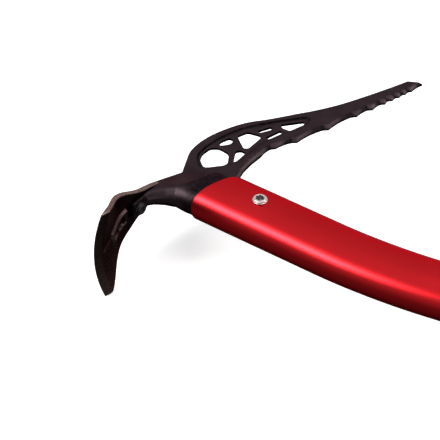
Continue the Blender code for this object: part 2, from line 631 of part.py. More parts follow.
# ---------------------------------------------------------------- sliding finger rest
T0 = TRIGGER_S
collar_out = [shaft_ring(T0 + s, a, b, 36) for s, a, b in
              ((-TRIGGER_HALF, 18.0, 13.4), (-TRIGGER_HALF + 1.2, 18.8, 14.2),
               (TRIGGER_HALF - 1.2, 18.8, 14.2), (TRIGGER_HALF, 18.0, 13.4))]
trigger = loft("trigger_body", collar_out, BLACK_NYLON, 40.0)
hook = [(14.0, 16.5), (13.2, 24.0), (9.2, 33.0), (2.4, 39.4), (-3.6, 42.2), (-5.8, 41.4),
        (-5.6, 39.0), (-0.4, 35.6), (3.6, 30.0), (4.4, 24.4), (2.0, 20.8), (-4.0, 18.8),
        (-10.0, 16.5)]
combine(trigger, low_prism("hook", [(T0 + s, y) for s, y in hook], -5.4, 5.4), "UNION", 40.0)
ear = [(-4.6, -15.0), (-4.6, -21.6), (-2.8, -24.4), (0.0, -25.6), (2.8, -24.4), (4.6, -21.6),
       (4.6, -15.0)]
for low, high in ((4.7, 8.2), (-8.2, -4.7)):
    combine(trigger, low_prism("ear", [(T0 + s, y) for s, y in ear], low, high), "UNION", 40.0)
bore_rings = [shaft_ring(T0 + s, 17.0, 12.4, 36) for s in (-TRIGGER_HALF - 2.0, TRIGGER_HALF + 2.0)]
combine(trigger, loft("cut", bore_rings), "DIFFERENCE", 40.0)
pad_slot = [(-5.2, -14.0), (-5.2, -19.4), (5.2, -19.4), (5.2, -14.0)]
combine(trigger, low_prism("cut", [(T0 + s, y) for s, y in pad_slot], -4.2, 4.2),
        "DIFFERENCE", 40.0)
lever_pin_at = shaft_point(T0, LEVER_PIN_Y)
combine(trigger, disc_stack("cut", [(-12.0, 1.5), (12.0, 1.5)], lever_pin_at, "z", None, 16),
        "DIFFERENCE", 40.0)

liner_out = [shaft_ring(T0 + s, 16.75, 12.15, 36) for s in (-TRIGGER_HALF + 0.5, TRIGGER_HALF - 0.5)]
liner_in = [shaft_ring(T0 + s, 15.8, 11.3, 36) for s in (-TRIGGER_HALF + 0.5, TRIGGER_HALF - 0.5)]
liner = hollow_loft("trigger_liner", liner_out, liner_in, GRIP_RUBBER, 40.0)
combine(liner, low_prism("cut", [(T0 + s, y) for s, y in pad_slot], -4.2, 4.2), "DIFFERENCE", 40.0)

pad = [(-4.8, -15.9), (-4.8, -17.6), (4.8, -17.6), (4.8, -15.9)]
low_prism("trigger_pad", [(T0 + s, y) for s, y in pad], -3.8, 3.8, BRASS)

lever_outline = []
for k in range(11):
    angle = math.radians(60.0 + 200.0 * k / 10)
    lever_outline.append((3.5 * math.cos(angle), LEVER_PIN_Y + 3.5 * math.sin(angle)))
lever_outline += [(6.0, -25.0), (14.0, -24.8), (22.0, -24.2), (28.0, -22.4), (29.6, -20.8),
                  (28.4, -19.9), (22.0, -20.6), (14.0, -20.6), (6.0, -19.8)]
lever = low_prism("trigger_lever", [(T0 + s, y) for s, y in lever_outline], -3.9, 3.9, RED_LEVER, 40.0)
combine(lever, disc_stack("cut", [(-8.0, 1.5), (8.0, 1.5)], lever_pin_at, "z", None, 16),
        "DIFFERENCE", 40.0)
set_origin(lever, lever_pin_at)
disc_stack("trigger_lever_pin", [(-8.4, 1.0), (-8.2, 1.2), (8.2, 1.2), (8.4, 1.0)], lever_pin_at,
           "z", BRIGHT_STEEL, 16)
trigger_origin = shaft_point(T0)
set_origin(trigger, trigger_origin)

# ---------------------------------------------------------------- stand on z = 0
low = Vector((1e9, 1e9, 1e9))
high = -low
for obj in bpy.context.scene.objects:
    for vertex in obj.data.vertices:
        point = obj.matrix_basis @ vertex.co
        low = Vector(map(min, low, point))
        high = Vector(map(max, high, point))
shift = Vector((-(low.x + high.x) / 2, -(low.y + high.y) / 2, -low.z))
for obj in bpy.context.scene.objects:
    obj.location += shift
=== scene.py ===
"""Ice axe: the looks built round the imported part.

Every piece is made in millimetres in the axe's own design frame (x along the upper shaft, y the
way the pick points, z out of the side, zero at the head bolt) and is then moved into the row frame.
"""
import math

import bmesh
import bpy
import numpy as np
from mathutils import Matrix, Vector, geometry


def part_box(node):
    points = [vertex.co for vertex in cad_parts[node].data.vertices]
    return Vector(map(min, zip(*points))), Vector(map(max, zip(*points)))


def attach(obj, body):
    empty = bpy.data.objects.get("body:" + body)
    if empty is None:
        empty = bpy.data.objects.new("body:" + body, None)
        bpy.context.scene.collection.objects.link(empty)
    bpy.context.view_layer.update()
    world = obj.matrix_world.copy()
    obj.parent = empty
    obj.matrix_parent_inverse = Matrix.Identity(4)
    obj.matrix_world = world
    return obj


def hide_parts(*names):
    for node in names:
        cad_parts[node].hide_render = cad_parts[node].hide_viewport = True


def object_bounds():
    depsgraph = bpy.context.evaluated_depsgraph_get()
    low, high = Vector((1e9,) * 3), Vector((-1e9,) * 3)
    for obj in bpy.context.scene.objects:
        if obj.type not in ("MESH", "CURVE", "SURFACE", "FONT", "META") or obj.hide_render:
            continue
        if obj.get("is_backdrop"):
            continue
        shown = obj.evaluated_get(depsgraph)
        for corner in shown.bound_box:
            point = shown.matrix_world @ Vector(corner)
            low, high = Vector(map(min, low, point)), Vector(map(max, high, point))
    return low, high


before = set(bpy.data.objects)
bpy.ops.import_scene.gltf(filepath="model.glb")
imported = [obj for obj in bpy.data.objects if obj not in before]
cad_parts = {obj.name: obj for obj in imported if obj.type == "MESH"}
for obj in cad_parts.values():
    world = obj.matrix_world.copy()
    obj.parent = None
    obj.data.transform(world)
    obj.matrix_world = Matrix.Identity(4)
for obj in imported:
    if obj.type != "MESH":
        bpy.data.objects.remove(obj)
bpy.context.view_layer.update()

MM = 0.001
HEAD_BOLT_TOP = 12.7  # height of the head bolt's top over the middle of the axe
bolt_low, bolt_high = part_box("head_bolt")
ORIGIN = Vector(((bolt_low.x + bolt_high.x) / 2, (bolt_low.y + bolt_high.y) / 2,
                 bolt_high.z - HEAD_BOLT_TOP * MM))

# ---- sizes (mm)
SHAFT_HALF_DEPTH = 15.5
SHAFT_HALF_WIDTH = 11.0
SHAFT_WALL = 1.6
OVAL_POWER = 2.5
ROUND_STEPS = 4  # pieces in a rounded corner
BEND_START = 40.0
BEND_RADIUS = 330.0
BEND_ANGLE = math.radians(18.0)
BEND_END = BEND_START + BEND_RADIUS * BEND_ANGLE
CUT_MIDDLE = -26.4
CUT_SLOPE = 0.35
SHAFT_END = 389.9
PICK_HALF = 1.75
WEB_HALF = 0.9
SEAT_X = -55.2
SEAT_STEP_Y = -10.8
TONGUE_X = -53.3
TONGUE_END_Y = -34.6
ADZE_SCREW_Y = -30.0
ADZE_SCREW_BORE = 2.4
GRIP_START = 262.0
GRIP_END = 389.6
TRIGGER_S = 222.0
LEVER_PIN_Y = -21.6
HEAD_BORE = 3.0  # radius of the head bolt's hole in the tube
PIN_BORE = 1.9
TANG_HALF_DEPTH = 13.4
TANG_HALF_WIDTH = 8.9
PIN_S = 380.0
SPIKE_BOLT = (414.0, -3.0)   # distance along the shaft, across it
REST_PIN = (402.0, 12.5)


# ---- small helpers
def smooth_step(t):
    t = np.clip(t, 0.0, 1.0)
    return t * t * (3 - 2 * t)


def smooth_min(a, b, k):
    h = np.maximum(k - np.abs(a - b), 0.0) / k
    return np.minimum(a, b) - h * h * k * 0.25


def cut_x(across):
    return CUT_MIDDLE + CUT_SLOPE * across


def shaft_point(s, across=0.0, up=0.0):
    """Point of the axe at distance s along the shaft line."""
    if s <= BEND_START:
        return (s, across, up)
    turn = min(s - BEND_START, BEND_END - BEND_START) / BEND_RADIUS
    rest = max(0.0, s - BEND_END)
    x = BEND_START + BEND_RADIUS * math.sin(turn) + rest * math.cos(turn)
    y = BEND_RADIUS * (1 - math.cos(turn)) + rest * math.sin(turn)
    return (x - across * math.sin(turn), y + across * math.cos(turn), up)


def oval(half_depth, half_width, count):
    ring = []
    for i in range(count):
        angle = 2 * math.pi * (i + 0.5) / count
        c, s = math.cos(angle), math.sin(angle)
        ring.append((half_depth * math.copysign(abs(c) ** (2 / OVAL_POWER), c),
                     half_width * math.copysign(abs(s) ** (2 / OVAL_POWER), s)))
    return ring


def shaft_ring(s, half_depth, half_width, count):
    return [shaft_point(s, a, b) for a, b in oval(half_depth, half_width, count)]


def circle(radius, count):
    return [(radius * math.cos(2 * math.pi * i / count), radius * math.sin(2 * math.pi * i / count))
            for i in range(count)]


def arc(centre, radii, start, turn, steps):
    """Points along an arc; start and turn are in degrees."""
    result = []
    for k in range(steps + 1):
        angle = math.radians(start + turn * k / steps)
        result.append((centre[0] + radii[0] * math.cos(angle), centre[1] + radii[1] * math.sin(angle)))
    return result


def rounded(points, radius):
    """Closed outline with its corners rounded by short arcs."""
    result = []
    for i, here in enumerate(points):
        p = Vector(here)
        before = Vector(points[i - 1]) - p
        after = Vector(points[(i + 1) % len(points)]) - p
        reach = min(radius, 0.45 * before.length, 0.45 * after.length)
        start = p + before.normalized() * reach
        end = p + after.normalized() * reach
        for k in range(ROUND_STEPS + 1):
            t = k / ROUND_STEPS
            q = start * (1 - t) ** 2 + p * (2 * t * (1 - t)) + end * t ** 2
            result.append((q.x, q.y))
    return result


def curve_through(points, step):
    """Smooth open curve through points, sampled about every step."""
    result = []
    for i in range(len(points) - 1):
        p0 = Vector(points[max(i - 1, 0)])
        p1 = Vector(points[i])
        p2 = Vector(points[i + 1])
        p3 = Vector(points[min(i + 2, len(points) - 1)])
        count = max(1, int(round((p2 - p1).length / step)))
        for k in range(count):
            t = k / count
            q = 0.5 * (2 * p1 + (p2 - p0) * t + (2 * p0 - 5 * p1 + 4 * p2 - p3) * t * t
                       + (3 * p1 - p0 - 3 * p2 + p3) * t ** 3)
            result.append((q.x, q.y))
    result.append(tuple(points[-1]))
    return result


def resampled(loop, step):
    """Closed loop with extra points so that no side is longer than step."""
    result = []
    for i, a in enumerate(loop):
        b = loop[(i + 1) % len(loop)]
        count = max(1, int(math.ceil(math.hypot(b[0] - a[0], b[1] - a[1]) / step)))
        for k in range(count):
            t = k / count
            result.append((a[0] + (b[0] - a[0]) * t, a[1] + (b[1] - a[1]) * t))
    return result


# ---- mesh makers
def make_object(name, points, faces, look, sharp=40.0):
    mesh = bpy.data.meshes.new(name)
    mesh.from_pydata([(x * MM, y * MM, z * MM) for x, y, z in points], [], faces)
    body = bmesh.new()
    body.from_mesh(mesh)
    bmesh.ops.recalc_face_normals(body, faces=body.faces)
    body.to_mesh(mesh)
    body.free()
    obj = bpy.data.objects.new(name, mesh)
    bpy.context.scene.collection.objects.link(obj)
    if look is not None:
        mesh.materials.append(look)
    shade(obj, sharp)
    return obj


def shade(obj, sharp):
    mesh = obj.data
    mesh.polygons.foreach_set("use_smooth", [True] * len(mesh.polygons))
    mesh.set_sharp_from_angle(angle=math.radians(sharp))


def loft(name, rings, look=None, sharp=40.0, closed=False):
    """Body through rings of equal count; closed joins the last ring to the first."""
    count = len(rings[0])
    points = [p for ring in rings for p in ring]
    faces = []
    if not closed:
        faces = [tuple(range(count)), tuple(range(len(points) - count, len(points)))]
    for r in range(len(rings) if closed else len(rings) - 1):
        a = r * count
        b = ((r + 1) % len(rings)) * count
        for i in range(count):
            j = (i + 1) % count
            faces.append((a + i, a + j, b + j, b + i))
    return make_object(name, points, faces, look, sharp)


def prism(name, outline, low, high, look=None):
    return loft(name, [[(x, y, z) for x, y in outline] for z in (low, high)], look)


def low_prism(name, outline, low, high, look=None):
    """Prism whose outline is given as (distance along the shaft, across)."""
    return prism(name, [shaft_point(s, y)[:2] for s, y in outline], low, high, look)


def turned(name, profile, centre, axis, look=None, count=48, closed=False, sharp=40.0):
    """Turned body: (height, radius) profile about a line along 'z' or 'x'."""
    rings = []
    for height, radius in profile:
        if axis == "z":
            ring = [(centre[0] + a, centre[1] + b, height) for a, b in circle(radius, count)]
        else:
            ring = [(height, centre[1] + a, b) for a, b in circle(radius, count)]
        rings.append(ring)
    return loft(name, rings, look, sharp, closed)


def applied(obj, sharp):
    """Bake an object's modifiers into its mesh."""
    graph = bpy.context.evaluated_depsgraph_get()
    result = bpy.data.meshes.new_from_object(obj.evaluated_get(graph))
    obj.modifiers.clear()
    old = obj.data
    obj.data = result
    bpy.data.meshes.remove(old)
    shade(obj, sharp)


def combine(target, tool, operation, sharp=40.0):
    step = target.modifiers.new("combine", "BOOLEAN")
    step.operation = operation
    step.solver = "EXACT"
    step.object = tool
    applied(target, sharp)
    bpy.data.objects.remove(tool, do_unlink=True)
    body = bmesh.new()
    body.from_mesh(target.data)
    bmesh.ops.remove_doubles(body, verts=body.verts, dist=0.000003)
    bmesh.ops.dissolve_degenerate(body, edges=body.edges, dist=0.000002)
    body.to_mesh(target.data)
    body.free()


def drill(target, centre, radius, low, high, axis="z", count=48, sharp=40.0):
    """Round hole from low to high along an axis."""
    tool = turned("cut", [(low, radius), (high, radius)], centre, axis, count=count)
    combine(target, tool, "DIFFERENCE", sharp)


def cut_slot(target, outline, half):
    """Slot right through, given as (distance along the shaft, across)."""
    combine(target, low_prism("cut", outline, -half, half), "DIFFERENCE")


def cut_grooves(target, places, radius, count, half):
    """Round grooves across a piece, at (distance along the shaft, across)."""
    for s, y in places:
        groove = [shaft_point(s + a, y + b)[:2] for a, b in circle(radius, count)]
        combine(target, prism("cut", groove, -half, half), "DIFFERENCE")


def soften(obj, voxel, passes):
    """Turn a hard-edged body into a fine one with small rounded edges."""
    remesh = obj.modifiers.new("fine", "REMESH")
    remesh.mode = "VOXEL"
    remesh.voxel_size = voxel * MM
    remesh.use_smooth_shade = True
    smooth = obj.modifiers.new("ease", "SMOOTH")
    smooth.factor = 0.5
    smooth.iterations = passes
    applied(obj, 180.0)


def positions(obj):
    """Points of a mesh in mm, one row each."""
    values = np.empty(len(obj.data.vertices) * 3)
    obj.data.vertices.foreach_get("co", values)
    return values.reshape(-1, 3) / MM


def mark(obj, name, values):
    """Store one number per point for the finish to read."""
    layer = obj.data.attributes.new(name, "FLOAT", "POINT")
    layer.data.foreach_set("value", np.asarray(values, dtype=np.float32))


def edge_wear(obj, start, full, passes=2):
    """0 to 1 by how sharply the surface bends outward, with start and full in 1/mm."""
    at = positions(obj)
    normals = np.empty(len(at) * 3)
    obj.data.vertices.foreach_get("normal", normals)
    normals = normals.reshape(-1, 3)
    ends = np.empty(len(obj.data.edges) * 2, dtype=np.int32)
    obj.data.edges.foreach_get("vertices", ends)
    a, b = ends.reshape(-1, 2).T
    gap = at[b] - at[a]
    bend = ((normals[b] - normals[a]) * gap).sum(axis=1) / np.maximum((gap ** 2).sum(axis=1), 1e-4)
    worst = np.zeros(len(at))
    np.maximum.at(worst, a, bend)
    np.maximum.at(worst, b, bend)
    value = smooth_step((worst - start) / (full - start))
    shared = np.maximum(np.bincount(a, minlength=len(at)) + np.bincount(b, minlength=len(at)), 1)
    for _ in range(passes):
        around = np.bincount(a, value[b], len(at)) + np.bincount(b, value[a], len(at))
        value = 0.5 * value + 0.5 * around / shared
    return value


def place(obj, body, nodes):
    """Move a finished piece from the design frame into the row frame and tie it to its body."""
    obj.data.transform(Matrix.Translation(ORIGIN))
    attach(obj, body)
    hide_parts(*nodes)
    return obj


# ---- materials
SPECK = (0.10, 0.09, 0.085)


def add_node(tree, kind, inputs=(), **settings):
    """New node; an input given another node's output is linked, any other gets the value."""
    made = tree.nodes.new(kind)
    for key, value in settings.items():
        setattr(made, key, value)
    for key, value in dict(inputs).items():
        if isinstance(value, bpy.types.NodeSocket):
            tree.links.new(value, made.inputs[key])
        else:
            made.inputs[key].default_value = value
    return made


def map_range(tree, value, low, high, to_low=0.0, to_high=1.0):
    """Output that runs from to_low to to_high while a value runs from low to high."""
    made = add_node(tree, "ShaderNodeMapRange", {"Value": value, "From Min": low, "From Max": high,
                                                 "To Min": to_low, "To Max": to_high})
    return made.outputs["Result"]


def mix_colours(tree, share, first, second):
    made = add_node(tree, "ShaderNodeMix", {"Factor": share, "A": first, "B": second}, data_type="RGBA")
    return made.outputs["Result"]


def colour_ramp(tree, value, stops):
    """Output of a ramp through (position, colour) stops."""
    ramp = add_node(tree, "ShaderNodeValToRGB", {"Fac": value})
    elements = ramp.color_ramp.elements
    for k, (position, colour) in enumerate(stops):
        if 0 < k < len(stops) - 1:
            stop = elements.new(position)
        else:
            stop = elements[0 if k == 0 else -1]
            stop.position = position
        stop.color = (*colour, 1)
    return ramp.outputs["Color"]


def surface(name, colour, metallic, roughness, spread=0.06, tint=0.12, tint_size=14.0,
            grain=0.9, bump=0.12, bump_depth=0.03, stretch=(1, 1, 1), coat=0.0, coat_rough=0.2,
            specks=0.0, specular=0.5, specular_tint=(1, 1, 1), wear_and_highlight_colour=None, painted_shade=None):
    """Procedural finish. Sizes are in mm: tint_size for broad colour change, grain for the bump.

    The last two colours go where points are marked: edge wear with painted highlight, and painted shade.
    """
    made = bpy.data.materials.new(name)
    made.use_nodes = True
    tree = made.node_tree
    shader = tree.nodes["Principled BSDF"]
    for key, value in (("Metallic", metallic), ("Coat Weight", coat), ("Coat Roughness", coat_rough),
                       ("Specular IOR Level", specular), ("Specular Tint", (*specular_tint, 1))):
        shader.inputs[key].default_value = value
    where = add_node(tree, "ShaderNodeTexCoord").outputs["Object"]
    in_mm = add_node(tree, "ShaderNodeMapping", {"Vector": where, "Scale": [s / MM for s in stretch]})

    def noise(size, detail, rough=0.55):
        made = add_node(tree, "ShaderNodeTexNoise", {"Vector": in_mm.outputs["Vector"], "Detail": detail,
                                                     "Scale": 1.0 / size, "Roughness": rough})
        return made.outputs["Fac"]

    fine = noise(grain, 3.0, 0.65)
    darker = [c * (1 - tint) for c in colour]
    lighter = [min(1.0, c * (1 + tint)) for c in colour]
    base = colour_ramp(tree, noise(tint_size, 4.0), [(0.32, darker), (0.68, lighter)])
    if specks > 0:
        spots = map_range(tree, noise(grain * 1.7, 2.0, 0.7), 0.66, 0.74, 0.0, specks)
        base = mix_colours(tree, spots, base, (*SPECK, 1))
    for marked, other in (("wear_and_highlight", wear_and_highlight_colour), ("painted_shade", painted_shade)):
        if other is None:
            continue
        marks = add_node(tree, "ShaderNodeAttribute", attribute_name=marked).outputs["Fac"]
        patches = map_range(tree, noise(2.5, 5.0, 0.7), 0.35, 0.60, 0.45)
        share = add_node(tree, "ShaderNodeMath", {0: marks, 1: patches}, operation="MULTIPLY",
                         use_clamp=True)
        base = mix_colours(tree, share.outputs["Value"], base, (*other, 1))
    gloss = map_range(tree, fine, 0.3, 0.7, roughness - spread, roughness + spread)
    relief = add_node(tree, "ShaderNodeBump", {"Strength": bump, "Distance": bump_depth * MM,
                                               "Height": fine})
    tree.links.new(base, shader.inputs["Base Color"])
    tree.links.new(gloss, shader.inputs["Roughness"])
    tree.links.new(relief.outputs["Normal"], shader.inputs["Normal"])
    return made


RED = surface("red_anodised_alloy", (0.54, 0.0135, 0.0185), 1.0, 0.32, spread=0.04, tint=0.05,
              tint_size=30.0, grain=0.22, bump=0.35, bump_depth=0.012, coat=0.03, coat_rough=0.30,
              specular_tint=(0.70, 0.40, 0.42))
# Head forging: the lighter marked colour is edge wear with painted highlight, the darkest one painted
# shade.
FORGED = surface("black_forged_steel", (0.038, 0.0265, 0.0305), 1.0, 0.48, spread=0.07, tint=0.16,
                 tint_size=9.0, grain=0.55, bump=0.5, bump_depth=0.05, specks=0.05,
                 specular_tint=(0.60, 0.48, 0.50), wear_and_highlight_colour=(0.125, 0.092, 0.088),
                 painted_shade=(0.007, 0.0045, 0.0052))
# Adze: the lighter marked colour is rubbed and ground edges, with painted highlight along the rims.
ADZE_BLACK = surface("black_adze_steel", (0.046, 0.026, 0.027), 1.0, 0.27, spread=0.06, tint=0.2,
                     tint_size=7.0, grain=0.6, bump=0.4, bump_depth=0.04, specks=0.05,
                     specular_tint=(0.60, 0.46, 0.46), wear_and_highlight_colour=(0.24, 0.18, 0.165))
# Bright steel: the dark marked colour is painted shade inside the bolts' sockets.
BRIGHT = surface("bright_steel", (0.68, 0.60, 0.57), 1.0, 0.32, spread=0.08, tint=0.06,
                 tint_size=3.0, grain=0.18, bump=0.3, bump_depth=0.01, painted_shade=(0.035, 0.03, 0.028))
SPIKE_STEEL = surface("brushed_spike_steel", (0.42, 0.42, 0.43), 1.0, 0.36, spread=0.1, tint=0.08,
                      tint_size=6.0, grain=0.25, bump=0.5, bump_depth=0.02, stretch=(0.25, 1.0, 1.0))
OXIDE = surface("black_oxide_steel", (0.06, 0.055, 0.056), 0.8, 0.34, spread=0.08, tint=0.15,
                tint_size=2.0, grain=0.2, bump=0.3, bump_depth=0.01)
RUBBER = surface("grip_rubber", (0.013, 0.013, 0.014), 0.0, 0.72, specular=0.32, spread=0.1, tint=0.18,
                 tint_size=11.0, grain=0.35, bump=0.6, bump_depth=0.06)
NYLON = surface("black_nylon", (0.014, 0.014, 0.015), 0.0, 0.50, specular=0.32, spread=0.07, tint=0.14,
                tint_size=8.0, grain=0.3, bump=0.55, bump_depth=0.05)
LEVER_RED = surface("lever_red_alloy", (0.46, 0.010, 0.018), 1.0, 0.34, spread=0.05, tint=0.05,
                    tint_size=12.0, grain=0.22, bump=0.3, bump_depth=0.012, coat=0.25,
                    coat_rough=0.28)
BRASS = surface("brass_pad", (0.62, 0.42, 0.16), 1.0, 0.34, spread=0.08, tint=0.1, tint_size=3.0,
                grain=0.2, bump=0.3, bump_depth=0.01)
PLAIN_FLOOR = surface("pale_floor", (0.86, 0.86, 0.86), 0.0, 0.6, spread=0.02, tint=0.004,
                      tint_size=300.0, grain=2.0, bump=0.02, bump_depth=0.02)
floor_shader = PLAIN_FLOOR.node_tree.nodes["Principled BSDF"]
floor_shader.inputs["Emission Color"].default_value = (1, 1, 1, 1)
floor_shader.inputs["Emission Strength"].default_value = 0.45

# ---- shaft tube
ROUND = 96
BENT = 48


def tube_stations():
    low = [-9.0, 0.0, 10.0, 20.0, 30.0, BEND_START]
    bent = [BEND_START + (BEND_END - BEND_START) * k / BENT for k in range(1, BENT + 1)]
    return low + bent + [150.0, 170.0, 200.0, 240.0, 280.0, 320.0, 360.0, SHAFT_END]


def cut_ring(back, deep, wide):
    """Ring in the plane of the slanted head end, set back along the shaft."""
    return [(cut_x(a) + back, a, b) for a, b in oval(deep, wide, ROUND)]


def tube_section(shrink, lip):
    deep = SHAFT_HALF_DEPTH - shrink
    wide = SHAFT_HALF_WIDTH - shrink
    rings = []
    for k in range(5):
        turn = 0.5 * math.pi * k / 4
        inset = 0.45 * (1 - math.sin(turn)) * lip
        back = 0.45 * (1 - math.cos(turn))
        rings.append(cut_ring(back, deep - inset, wide - inset))
    rings.append(cut_ring(2.0, deep, wide))
    rings.append(cut_ring(8.0, deep, wide))
    return rings + [shaft_ring(s, deep, wide, ROUND) for s in tube_stations()]


shaft = loft("shaft", tube_section(0.0, 1.0) + list(reversed(tube_section(SHAFT_WALL, -1.0))), RED,
             35.0, closed=True)
drill(shaft, (0, 0), HEAD_BORE, -14.0, 14.0, sharp=35.0)
pin_at = shaft_point(PIN_S)
drill(shaft, pin_at, PIN_BORE, -14.0, 14.0, count=32, sharp=35.0)
place(shaft, "axe", ["shaft_tube"])

# ---- head forging
PICK_TIP = (4.5, 147.29)
PICK_SPINE = [(-2.9, 143.5), (-7.8, 131.3), (-13.7, 117.8), (-19.6, 105.3), (-24.5, 96.7),
              (-29.4, 89.2), (-34.4, 82.4), (-40.4, 74.0), (-45.4, 67.4), (-49.5, 62.6),
              (-52.9, 57.5), (-55.9, 51.3), (-58.6, 44.2), (-60.5, 36.5), (-61.08, 29.0),
              (-60.3, 21.5), (-57.4, 14.5), (-53.0, 5.0)]
# tooth tips: x, y and depth of the gullet behind each
TEETH = [(3.1, 138.3, 1.2), (1.9, 134.1, 1.2), (0.7, 129.7, 1.5), (-0.6, 125.1, 2.0),
         (-2.0, 120.1, 2.2), (-4.6, 111.6, 2.4), (-8.1, 101.1, 2.4), (-13.6, 82.4, 2.7),
         (-20.7, 63.2, 2.7), (-26.7, 51.8, 2.0)]
EDGE_HALF = 0.60  # half thickness left at the toothed edge
EDGE_RISE = 0.80  # slope of the bevels behind it
THROAT_HALF = 1.0  # half thickness left at the throat's edge
TEETH_WEAK_HIGHLIGHT = 5  # teeth next to the throat whose bevels get a weaker painted highlight
PICK_THROAT = [(-26.3, 15.0), (-26.9, 19.5), (-28.6, 25.5), (-29.3, 34.0), (-29.0, 43.0)]
BODY_BACK = [(-53.0, 5.0), (-55.0, -1.5), (-57.3, -8.0), (-58.2, SEAT_STEP_Y), (SEAT_X, SEAT_STEP_Y)]
TONGUE = [(SEAT_X, TONGUE_END_Y), (TONGUE_X, TONGUE_END_Y), (TONGUE_X, -27.0)]
BODY_UNDER = [(-52.6, -23.6), (-50.7, -20.9), (-46.6, -17.7), (-42.3, -15.3), (-36.6, -15.2)]
BODY_END_Y = -14.9  # where the body's underside meets the tube
PLATE_SHARP = 38.0  # degrees from which an edge of a plate shows as sharp
PLATE_STEP = 0.9  # longest side of the forging's outline
WINDOW_INSET = 0.35  # how far the larger windows are drawn in
NECK = 9.4  # from the tube's end to the ridge round it
POCKET = [(-46.5, 12.6), (-55.4, 20.5), (-56.4, 30.0), (-55.0, 41.0), (-50.8, 54.0),
          (-44.5, 63.6), (-36.5, 74.0), (-29.0, 82.6), (-26.2, 83.2), (-24.6, 77.0),
          (-27.6, 68.0), (-31.2, 60.0), (-34.2, 50.0), (-34.6, 32.0), (-37.4, 22.5)]
WINDOWS = [
    ([(-46.7, 14.9), (-52.8, 19.6), (-55.0, 24.5), (-54.6, 31.6), (-50.7, 34.4), (-43.4, 33.6),
      (-38.8, 26.2), (-39.0, 23.2)], 2.6),
    ([(-37.2, 27.6), (-42.3, 36.8), (-40.3, 39.6), (-36.2, 39.2), (-36.0, 29.8)], 1.5),
    ([(-52.8, 35.8), (-53.6, 39.2), (-51.6, 44.8), (-48.4, 44.6), (-47.0, 40.4), (-50.6, 35.8)], 1.8),
    ([(-39.8, 40.8), (-49.5, 48.0), (-47.1, 54.8), (-39.5, 56.4), (-37.6, 54.2), (-37.5, 42.4)], 1.8),
    ([(-43.2, 58.0), (-41.0, 57.3), (-37.2, 64.0), (-39.4, 65.6)], 1.0),
    ([(-36.2, 55.4), (-33.9, 55.4), (-31.0, 64.6), (-33.4, 65.8)], 1.0),
    ([(-36.9, 70.2), (-34.0, 67.6), (-28.9, 68.0), (-25.8, 77.6), (-28.0, 80.4)], 1.2),
]


def scoop(start, end, hollow):
    """Circle through two points of the edge that bites hollow mm into the pick between them."""
    a, b = Vector(start), Vector(end)
    chord = b - a
    outward = Vector((chord.y, -chord.x)).normalized()
    if outward.x < 0:
        outward = -outward
    radius = (chord.length ** 2 / 4 + hollow ** 2) / (2 * hollow)
    centre = (a + b) / 2 + outward * (radius - hollow)
    return centre, radius


def scoop_points(centre, radius, start, end, step):
    a0 = math.atan2(start[1] - centre.y, start[0] - centre.x)
    a1 = math.atan2(end[1] - centre.y, end[0] - centre.x)
    if a1 - a0 > math.pi:
        a1 -= 2 * math.pi
    if a0 - a1 > math.pi:
        a1 += 2 * math.pi
    count = max(2, int(abs(a1 - a0) * radius / step))
    return [(centre.x + radius * math.cos(a0 + (a1 - a0) * k / count),
             centre.y + radius * math.sin(a0 + (a1 - a0) * k / count)) for k in range(count + 1)]


# the toothed edge, from the throat out to the tip
scoops = []
scoop_ends = []
toothed = []
previous = PICK_THROAT[-1]
for tip_x, tip_y, depth in list(reversed(TEETH)) + [(PICK_TIP[0], PICK_TIP[1], 0.0)]:
    gullet = (tip_x - depth, tip_y - 0.9 * depth)
    length = math.hypot(gullet[0] - previous[0], gullet[1] - previous[1])
    centre, radius = scoop(previous, gullet, 0.10 + 0.045 * length)
    scoops.append((centre, radius))
    scoop_ends.append((previous, gullet))
    toothed += scoop_points(centre, radius, previous, gullet, 0.5)[1:]
    if depth > 0:
        toothed.append((tip_x, tip_y))
    previous = (tip_x, tip_y)


def loop_sides(loop):
    """Unit vector square to a closed loop at each of its points."""
    sides = []
    for i in range(len(loop)):
        bx, by = loop[i - 1]
        ax, ay = loop[(i + 1) % len(loop)]
        length = math.hypot(ax - bx, ay - by) + 1e-9
        sides.append(((ay - by) / length, -(ax - bx) / length))
    return sides


def moved_in(loop, amount):
    """The same loop drawn in toward its inside."""
    area = sum(loop[i - 1][0] * y - loop[i - 1][1] * x for i, (x, y) in enumerate(loop))
    if area >= 0:
        amount = -amount
    return [(x + amount * nx, y + amount * ny) for (x, y), (nx, ny) in zip(loop, loop_sides(loop))]


outer = [PICK_TIP]
outer += curve_through([PICK_TIP, PICK_SPINE[0]], 1.0)[1:-1]
outer += curve_through(PICK_SPINE, 1.0)
outer += curve_through(BODY_BACK[:4], 1.0)[1:]
outer += [BODY_BACK[4]] + TONGUE
outer += curve_through(BODY_UNDER, 0.8)
outer += [(cut_x(y) - 0.3, y) for y in (BODY_END_Y, 15.0)]
outer += curve_through(PICK_THROAT, 1.0)[1:]
outer += toothed[:-1]
outer = resampled(outer, PLATE_STEP)
holes = [moved_in(resampled(rounded(window, radius), 0.7), WINDOW_INSET if radius > 1.1 else 0.0)
         for window, radius in WINDOWS]
pocket = resampled(rounded(POCKET, 4.0), 0.7)


def loop_distance(px, py, loop, closed=True):
    """Distance from points to a loop of segments."""
    a = np.array(loop)
    b = np.roll(a, -1, axis=0)
    if not closed:
        a, b = a[:-1], b[:-1]
    best = np.full(len(px), 1e9)
    for (x0, y0), (x1, y1) in zip(a, b):
        dx, dy = x1 - x0, y1 - y0
        t = np.clip(((px - x0) * dx + (py - y0) * dy) / (dx * dx + dy * dy + 1e-12), 0, 1)
        best = np.minimum(best, np.hypot(px - x0 - t * dx, py - y0 - t * dy))
    return best


def is_inside(px, py, loop):
    inside = np.zeros(len(px), bool)
    for i, (x0, y0) in enumerate(loop):
        x1, y1 = loop[(i + 1) % len(loop)]
        if y0 == y1:
            continue
        crosses = (y0 > py) != (y1 > py)
        inside ^= crosses & (px < (x1 - x0) * (py - y0) / (y1 - y0) + x0)
    return inside


